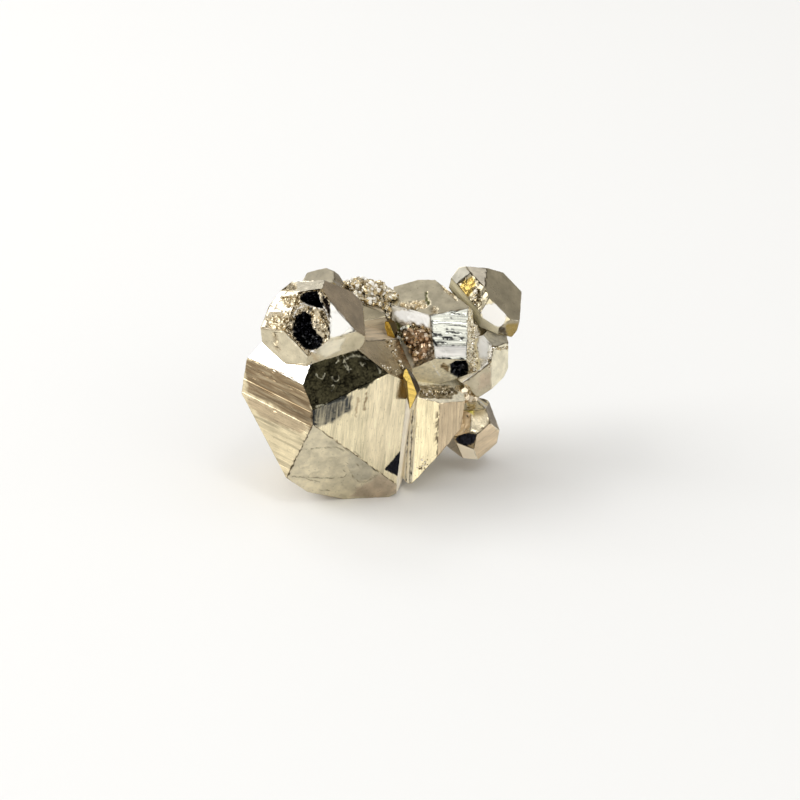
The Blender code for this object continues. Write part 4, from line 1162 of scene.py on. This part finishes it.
lowerRightCrystal = {
    "seed": 14, "wear": 0.05, "tone": (0.66, 0.54, 0.37), "rough": 0.18, "others": hiddenLooks,
    "faces": [
        # painted dark reflection: a dark tone on this front face
        {"at": (-94, 10), "look": "plain", "tone": (0.24, 0.18, 0.1), "step": 0.12, "wave": 0.02},
        {"at": (-104, -17), "look": "plain", "wave": 0.02, "tone": (0.95, 0.85, 0.68), "rough": 0.72},
        {"at": (-51, 0), "look": "striped", "edgeWith": (-78, 48), "rise": 0.012, "lean": 1.0,
         "shades": 0.25, "step": 0.2, "tone": (0.9, 0.73, 0.51)},
        {"at": (-78, 48), "look": "plain", "wave": 0.02, "tone": (0.58, 0.51, 0.36)},
        {"at": (-16, 34), "look": "plain", "wave": 0.01, "tone": (0.42, 0.36, 0.27)},
        {"at": (-111, 48), "look": "vuggy", "lumps": 0.12, "tone": (0.86, 0.69, 0.46), "rough": 0.66,
         "step": 0.12},
        {"at": (-99, 87), "look": "plain", "tone": (0.92, 0.84, 0.62), "rough": 0.66, "step": 0.13},
    ],
    "seams": [
        ("umber", 0.12, (-94, 10), (-51, 0)), ("umber", 0.12, (-94, 10), (-78, 48)),
        ("umber", 0.1, (-78, 48), (-51, 0)), ("cream", 0.12, (-51, 0), (-104, -17)),
        ("umber", 0.12, (-78, 48), (-16, 34)), ("cream", 0.1, (-51, 0), (-16, 34)),
        ("cream", 0.16, (-78, 48), (-111, 48)), ("cream", 0.14, (-111, 48), (-99, 87)),
    ],
    "areas": [
        ("blackShade", 0.06, [(10.5, -0.3, 5.5), (11.5, -0.2, 6.5), (13.6, -0.4, 6.4), (13.7, -0.5, 5.8),
            (13.3, -0.6, 5.0), (12.1, -0.6, 4.5), (11.1, -0.5, 4.8)]),
        ("honey", 0.12, [(12.3, 7.5, 9.2), (13.0, 8.2, 9.3), (13.7, 5.0, 9.1), (13.6, 3.2, 9.0),
            (12.9, 2.2, 9.0), (12.3, 2.9, 9.0)]),
        ("lime", 0.15, [(12.2, 3.6, 9.7), (12.9, 3.7, 10.0), (13.6, 2.6, 9.3), (13.2, 2.1, 8.7),
            (12.4, 2.4, 8.7)]),
        ("umber", 0.1, [(13.5, 8.5, 9.3), (14.5, 9.0, 9.3), (15.0, 7.8, 9.3), (15.5, 4.8, 9.1),
            (14.3, 6.7, 9.2)]),
    ],
    "lines": [
        ("pit", 0.16, [(12.3, 1.9, 8.3)]), ("pit", 0.14, [(12.9, 1.9, 8.5)]),
        ("blackShade", 0.12, [(13.9, 5.7, 9.2), (14.4, 4.4, 9.1), (15.0, 3.3, 9.1)]),
        ("pearlSheen", 0.3, [(13.6, 7.4, 9.2), (14.4, 5.7, 9.2), (15.3, 3.2, 9.1)]),
        ("umber", 0.1, [(13.9, 3.3, 9.6), (15.0, 2.9, 9.1)]),
        ("crack", 0.09, [(14.2, 0.2, 6.8), (16.0, 1.3, 7.4)]),
    ],
    "crusts": [("mixed", (0.1, 0.25), 20, 0.2, [(11.8, -0.1, 6.9), (13.8, -0.3, 6.5)])],
}
buildCrystal("lower_right_crystal", lowerRightCrystal)

rightRearCrystal = {
    "seed": 17, "wear": 0.05, "tone": (0.66, 0.58, 0.42), "rough": 0.18, "others": hiddenLooks,
    "faces": [
        {"at": (-116, 18), "look": "plain", "wave": 0.02, "tone": (0.95, 0.92, 0.84)},
        {"at": (-41, 4), "look": "plain", "wave": 0.03, "tone": (0.92, 0.85, 0.65)},
        {"at": (-102, 2), "look": "plain", "wave": 0.02, "tone": (0.58, 0.51, 0.37)},
        {"at": (-35, 52), "look": "pitted", "depth": 0.06, "size": 0.6, "joints": 0.08, "blotch": 0.4,
         "tone": (0.62, 0.58, 0.47), "rough": 0.66},
    ],
    "seams": [
        ("umber", 0.13, (-116, 18), (-41, 4)), ("umber", 0.12, (-41, 4), (-35, 52)),
        ("umber", 0.12, (-116, 18), (-102, 2)), ("cream", 0.12, (-41, 4), (-102, 2)),
    ],
    "areas": [
        ("satinSheen", 0.1, [(14.0, 2.7, 20.8), (15.3, 2.1, 20.9), (15.3, 1.0, 17.9), (14.1, 1.5, 17.7),
            (13.7, 2.3, 19.4)]),
        ("pink", 0.2, [(14.1, 0.8, 15.3), (15.8, 0.4, 15.9), (15.6, 0.4, 13.7), (13.8, 0.7, 12.9)]),
    ],
    "lines": [("blackShade", 0.1, [(14.1, 2.3, 19.9), (14.7, 2.1, 20.1), (15.4, 1.7, 20.0)])],
    "crusts": [
        ("mixed", (0.12, 0.35), 40, 0.4, [(15.7, 0.7, 19.5), (18.2, 3.4, 18.5)]),
        ("mixed", (0.1, 0.3), 30, 0.3, [(15.4, 0.5, 19.0), (15.5, 0.4, 16.6)]),
    ],
}
buildCrystal("right_rear_crystal", rightRearCrystal)

smallCrystal = {
    "wear": 0.05, "tone": (0.56, 0.49, 0.34), "rough": 0.24, "others": hiddenLooks,
    "seams": [
        ("umber", 0.12, (-90, 63), (-16, 32)), ("umber", 0.12, (-41, 72), (-85, 51)),
    ],
    "faces": [
        {"at": (-90, 63), "look": "plain", "wave": 0.03, "tone": (0.62, 0.56, 0.42), "rough": 0.35},
        {"at": (-16, 32), "look": "striped", "tone": (0.4, 0.34, 0.24)},
        {"at": (-41, 72), "look": "plain", "wave": 0.02, "tone": (0.74, 0.65, 0.48), "rough": 0.66},
        {"at": (-85, 51), "look": "plain", "wave": 0.02, "tone": (0.46, 0.4, 0.27)},
        {"at": (-77, 0), "look": "striped", "edgeWith": (-85, 51), "plate": (0.2, 0.5),
         "tone": (0.68, 0.6, 0.45), "rough": 0.74},
    ],
}
buildCrystal("rear_left_crystal", {**smallCrystal, "seed": 21})
buildCrystal("rear_middle_crystal", {**smallCrystal, "seed": 22})
buildCrystal("rear_foot_crystal", {**smallCrystal, "seed": 23, "tone": (0.64, 0.54, 0.36)})

flake = {
    # the flake's sides: dark brown tone as painted shade; only the front face is gold
    "wear": 0.02, "rim": 0.05, "tone": (0.16, 0.1, 0.03), "rough": 0.22,
    "others": [
        {"look": "striped", "step": 0.12, "rise": 0.02, "shades": 0.5},
        {"look": "plain", "step": 0.12, "wave": 0.05, "tone": (0.09, 0.065, 0.03)},
    ],
}
upperFlake = {
    "seed": 31,
    "faces": [
        {"at": (-112, 12), "look": "striped", "tone": (0.66, 0.45, 0.09), "step": 0.12, "shades": 0.5},
    ],
    "corners": [
        (0.2, -0.1, 24.0), (0.6, -0.2, 24.0), (1.1, -0.6, 23.0), (1.6, -1.1, 22.0), (1.5, -1.2, 21.4),
        (1.0, -1.0, 21.3), (0.6, -0.7, 21.9), (0.2, -0.3, 23.1), (1.0, 0.7, 24.2), (1.7, 0.3, 23.8),
        (2.0, 0.0, 23.1), (2.0, -0.2, 22.3), (1.9, -0.3, 21.5), (0.6, 1.8, 23.0), (1.2, 1.1, 21.0),
        (1.5, 1.4, 22.9),
    ],
}
lowerFlake = {
    "seed": 32,
    "faces": [
        {"at": (-103, 14), "look": "striped", "tone": (0.84, 0.59, 0.15), "step": 0.12, "shades": 0.5},
    ],
    "corners": [
        (3.0, -10.1, 20.3), (3.3, -10.1, 20.6), (3.7, -10.4, 19.7), (4.3, -10.9, 18.5),
        (4.8, -11.3, 17.2), (4.4, -11.5, 16.2), (3.8, -11.7, 14.9), (3.5, -11.0, 17.7),
        (2.8, -10.3, 19.5), (3.1, -8.8, 20.4), (4.1, -9.2, 19.7), (4.9, -9.7, 18.4), (5.3, -10.1, 17.3),
        (4.7, -10.3, 16.0), (2.7, -8.1, 19.0), (3.5, -9.2, 15.7), (3.2, -8.1, 19.6),
    ],
}
buildCrystal("upper_flake", {**flake, **upperFlake})
buildCrystal("lower_flake", {**flake, **lowerFlake})

granularDruse = {
    "seed": 41, "palette": "sparkle", "sizes": (0.28, 0.85), "perArea": 6,
    "tone": (0.5, 0.43, 0.3), "rough": 0.4,
    "sunk": 0.12, "bedded": 0.25, "move": (0, 0, 0),
}
brownDruse = {
    "seed": 42, "palette": "brown", "sizes": (0.3, 1.15), "perArea": 4,
    "tone": (0.2, 0.12, 0.06), "rough": 0.4,
    "sunk": 0.12, "bedded": 0.25, "move": (0.6, -0.3, 1.1),
}
buildDruse("granular_druse", granularDruse)
buildDruse("brown_druse", brownDruse)

cameraSetup = {"lookAt": (2.4, 3.9, 10.05), "away": 422.0, "above": 22.2, "lens": 128.07,
               "sensor": 36, "near": 0.01}


def addCamera():
    camera = bpy.data.objects.new("view_camera", bpy.data.cameras.new("view_camera"))
    bpy.context.scene.collection.objects.link(camera)
    above = math.radians(cameraSetup["above"])
    back = Vector((0, -math.cos(above), math.sin(above)))
    camera.location = (Vector(cameraSetup["lookAt"]) + back * cameraSetup["away"]) * mm
    camera.rotation_euler = (math.radians(90) - above, 0, 0)
    camera.data.lens = cameraSetup["lens"]
    camera.data.sensor_width = cameraSetup["sensor"]
    camera.data.clip_start = cameraSetup["near"]
    bpy.context.scene.camera = camera


studio = {
    "floor": (0.86, 0.86, 0.85), "floorRough": 0.6, "floorSize": 4.0,
    # room brightness by height: sine of the angle above the horizon, and colour
    "room": [(0.0, (1.3, 1.29, 1.26)), (0.24, (1.3, 1.29, 1.26)), (0.45, (0.9, 0.89, 0.87)),
             (0.7, (0.66, 0.65, 0.64)), (1.0, (0.72, 0.71, 0.7))],
    # cards round the table: azimuth, angle above the horizon, inner and outer half width, brightness
    "cards": [
        {"at": (48, 14), "inner": 30, "outer": 44, "colour": (0.52, 0.51, 0.50)},
        {"at": (-102, 47), "inner": 17, "outer": 26, "colour": (0.05, 0.05, 0.055)},
        {"at": (-66, 15), "inner": 22, "outer": 32, "colour": (1.6, 1.58, 1.52)},
    ],
    # soft boxes: azimuth, angle above the horizon, distance, width and height in mm, brightness
    "lamps": [
        {"name": "left_window", "at": (179, 38), "away": 1000, "size": (800, 620), "bright": 3.4},
        {"name": "top_spark", "at": (-60, 62), "away": 1200, "size": (260, 260), "bright": 5.0},
        {"name": "back_spark", "at": (120, 48), "away": 1200, "size": (300, 300), "bright": 4.0},
    ],
}


def addFloor():
    far = studio["floorSize"]
    mesh = bpy.data.meshes.new("table")
    mesh.from_pydata([(-far, -far, 0), (far, -far, 0), (far, far, 0), (-far, far, 0)], [], [(0, 1, 2, 3)])
    table = bpy.data.objects.new("table", mesh)
    bpy.context.scene.collection.objects.link(table)
    material = bpy.data.materials.new("table_finish")
    material.use_nodes = True
    shader = material.node_tree.nodes["Principled BSDF"]
    shader.inputs["Base Color"].default_value = (*studio["floor"], 1)
    shader.inputs["Roughness"].default_value = studio["floorRough"]
    shader.inputs["Specular IOR Level"].default_value = 0.0
    mesh.materials.append(material)


def addLamps():
    for lamp in studio["lamps"]:
        light = bpy.data.lights.new(lamp["name"], "AREA")
        light.shape = "RECTANGLE"
        light.size, light.size_y = (x * mm for x in lamp["size"])
        light.energy = lamp["bright"] * math.pi * light.size * light.size_y
        item = bpy.data.objects.new(lamp["name"], light)
        item.location = compass(*lamp["at"]) * lamp["away"] * mm
        item.rotation_euler = (-item.location).to_track_quat("-Z", "Y").to_euler()
        bpy.context.scene.collection.objects.link(item)


def addRoom():
    world = bpy.data.worlds.new("soft_room")
    bpy.context.scene.world = world
    world.use_nodes = True
    tree = world.node_tree
    place = tree.nodes.new("ShaderNodeTexCoord")
    parts = tree.nodes.new("ShaderNodeSeparateXYZ")
    tree.links.new(place.outputs["Generated"], parts.inputs[0])
    ramp = tree.nodes.new("ShaderNodeValToRGB")
    tree.links.new(parts.outputs["Z"], ramp.inputs[0])
    stops = ramp.color_ramp.elements
    while len(stops) < len(studio["room"]):
        stops.new(0.5)
    for stop, (height, colour) in zip(stops, studio["room"]):
        stop.position = height
        stop.color = (*colour, 1)
    last = ramp.outputs[0]
    for card in studio["cards"]:
        toward = tree.nodes.new("ShaderNodeVectorMath")
        toward.operation = "DOT_PRODUCT"
        tree.links.new(place.outputs["Generated"], toward.inputs[0])
        toward.inputs[1].default_value = compass(*card["at"])
        share = tree.nodes.new("ShaderNodeMapRange")
        share.interpolation_type = "SMOOTHSTEP"
        tree.links.new(toward.outputs["Value"], share.inputs["Value"])
        share.inputs["From Min"].default_value = math.cos(math.radians(card["outer"]))
        share.inputs["From Max"].default_value = math.cos(math.radians(card["inner"]))
        mix = tree.nodes.new("ShaderNodeMix")
        mix.data_type = "RGBA"
        tree.links.new(share.outputs["Result"], mix.inputs["Factor"])
        tree.links.new(last, mix.inputs[6])
        mix.inputs[7].default_value = (*card["colour"], 1)
        last = mix.outputs[2]
    tree.links.new(last, tree.nodes["Background"].inputs["Color"])


addCamera()
addFloor()
addLamps()
addRoom()
print("camera, table and lights ready")
bpy.context.scene.view_settings.view_transform = "Standard"
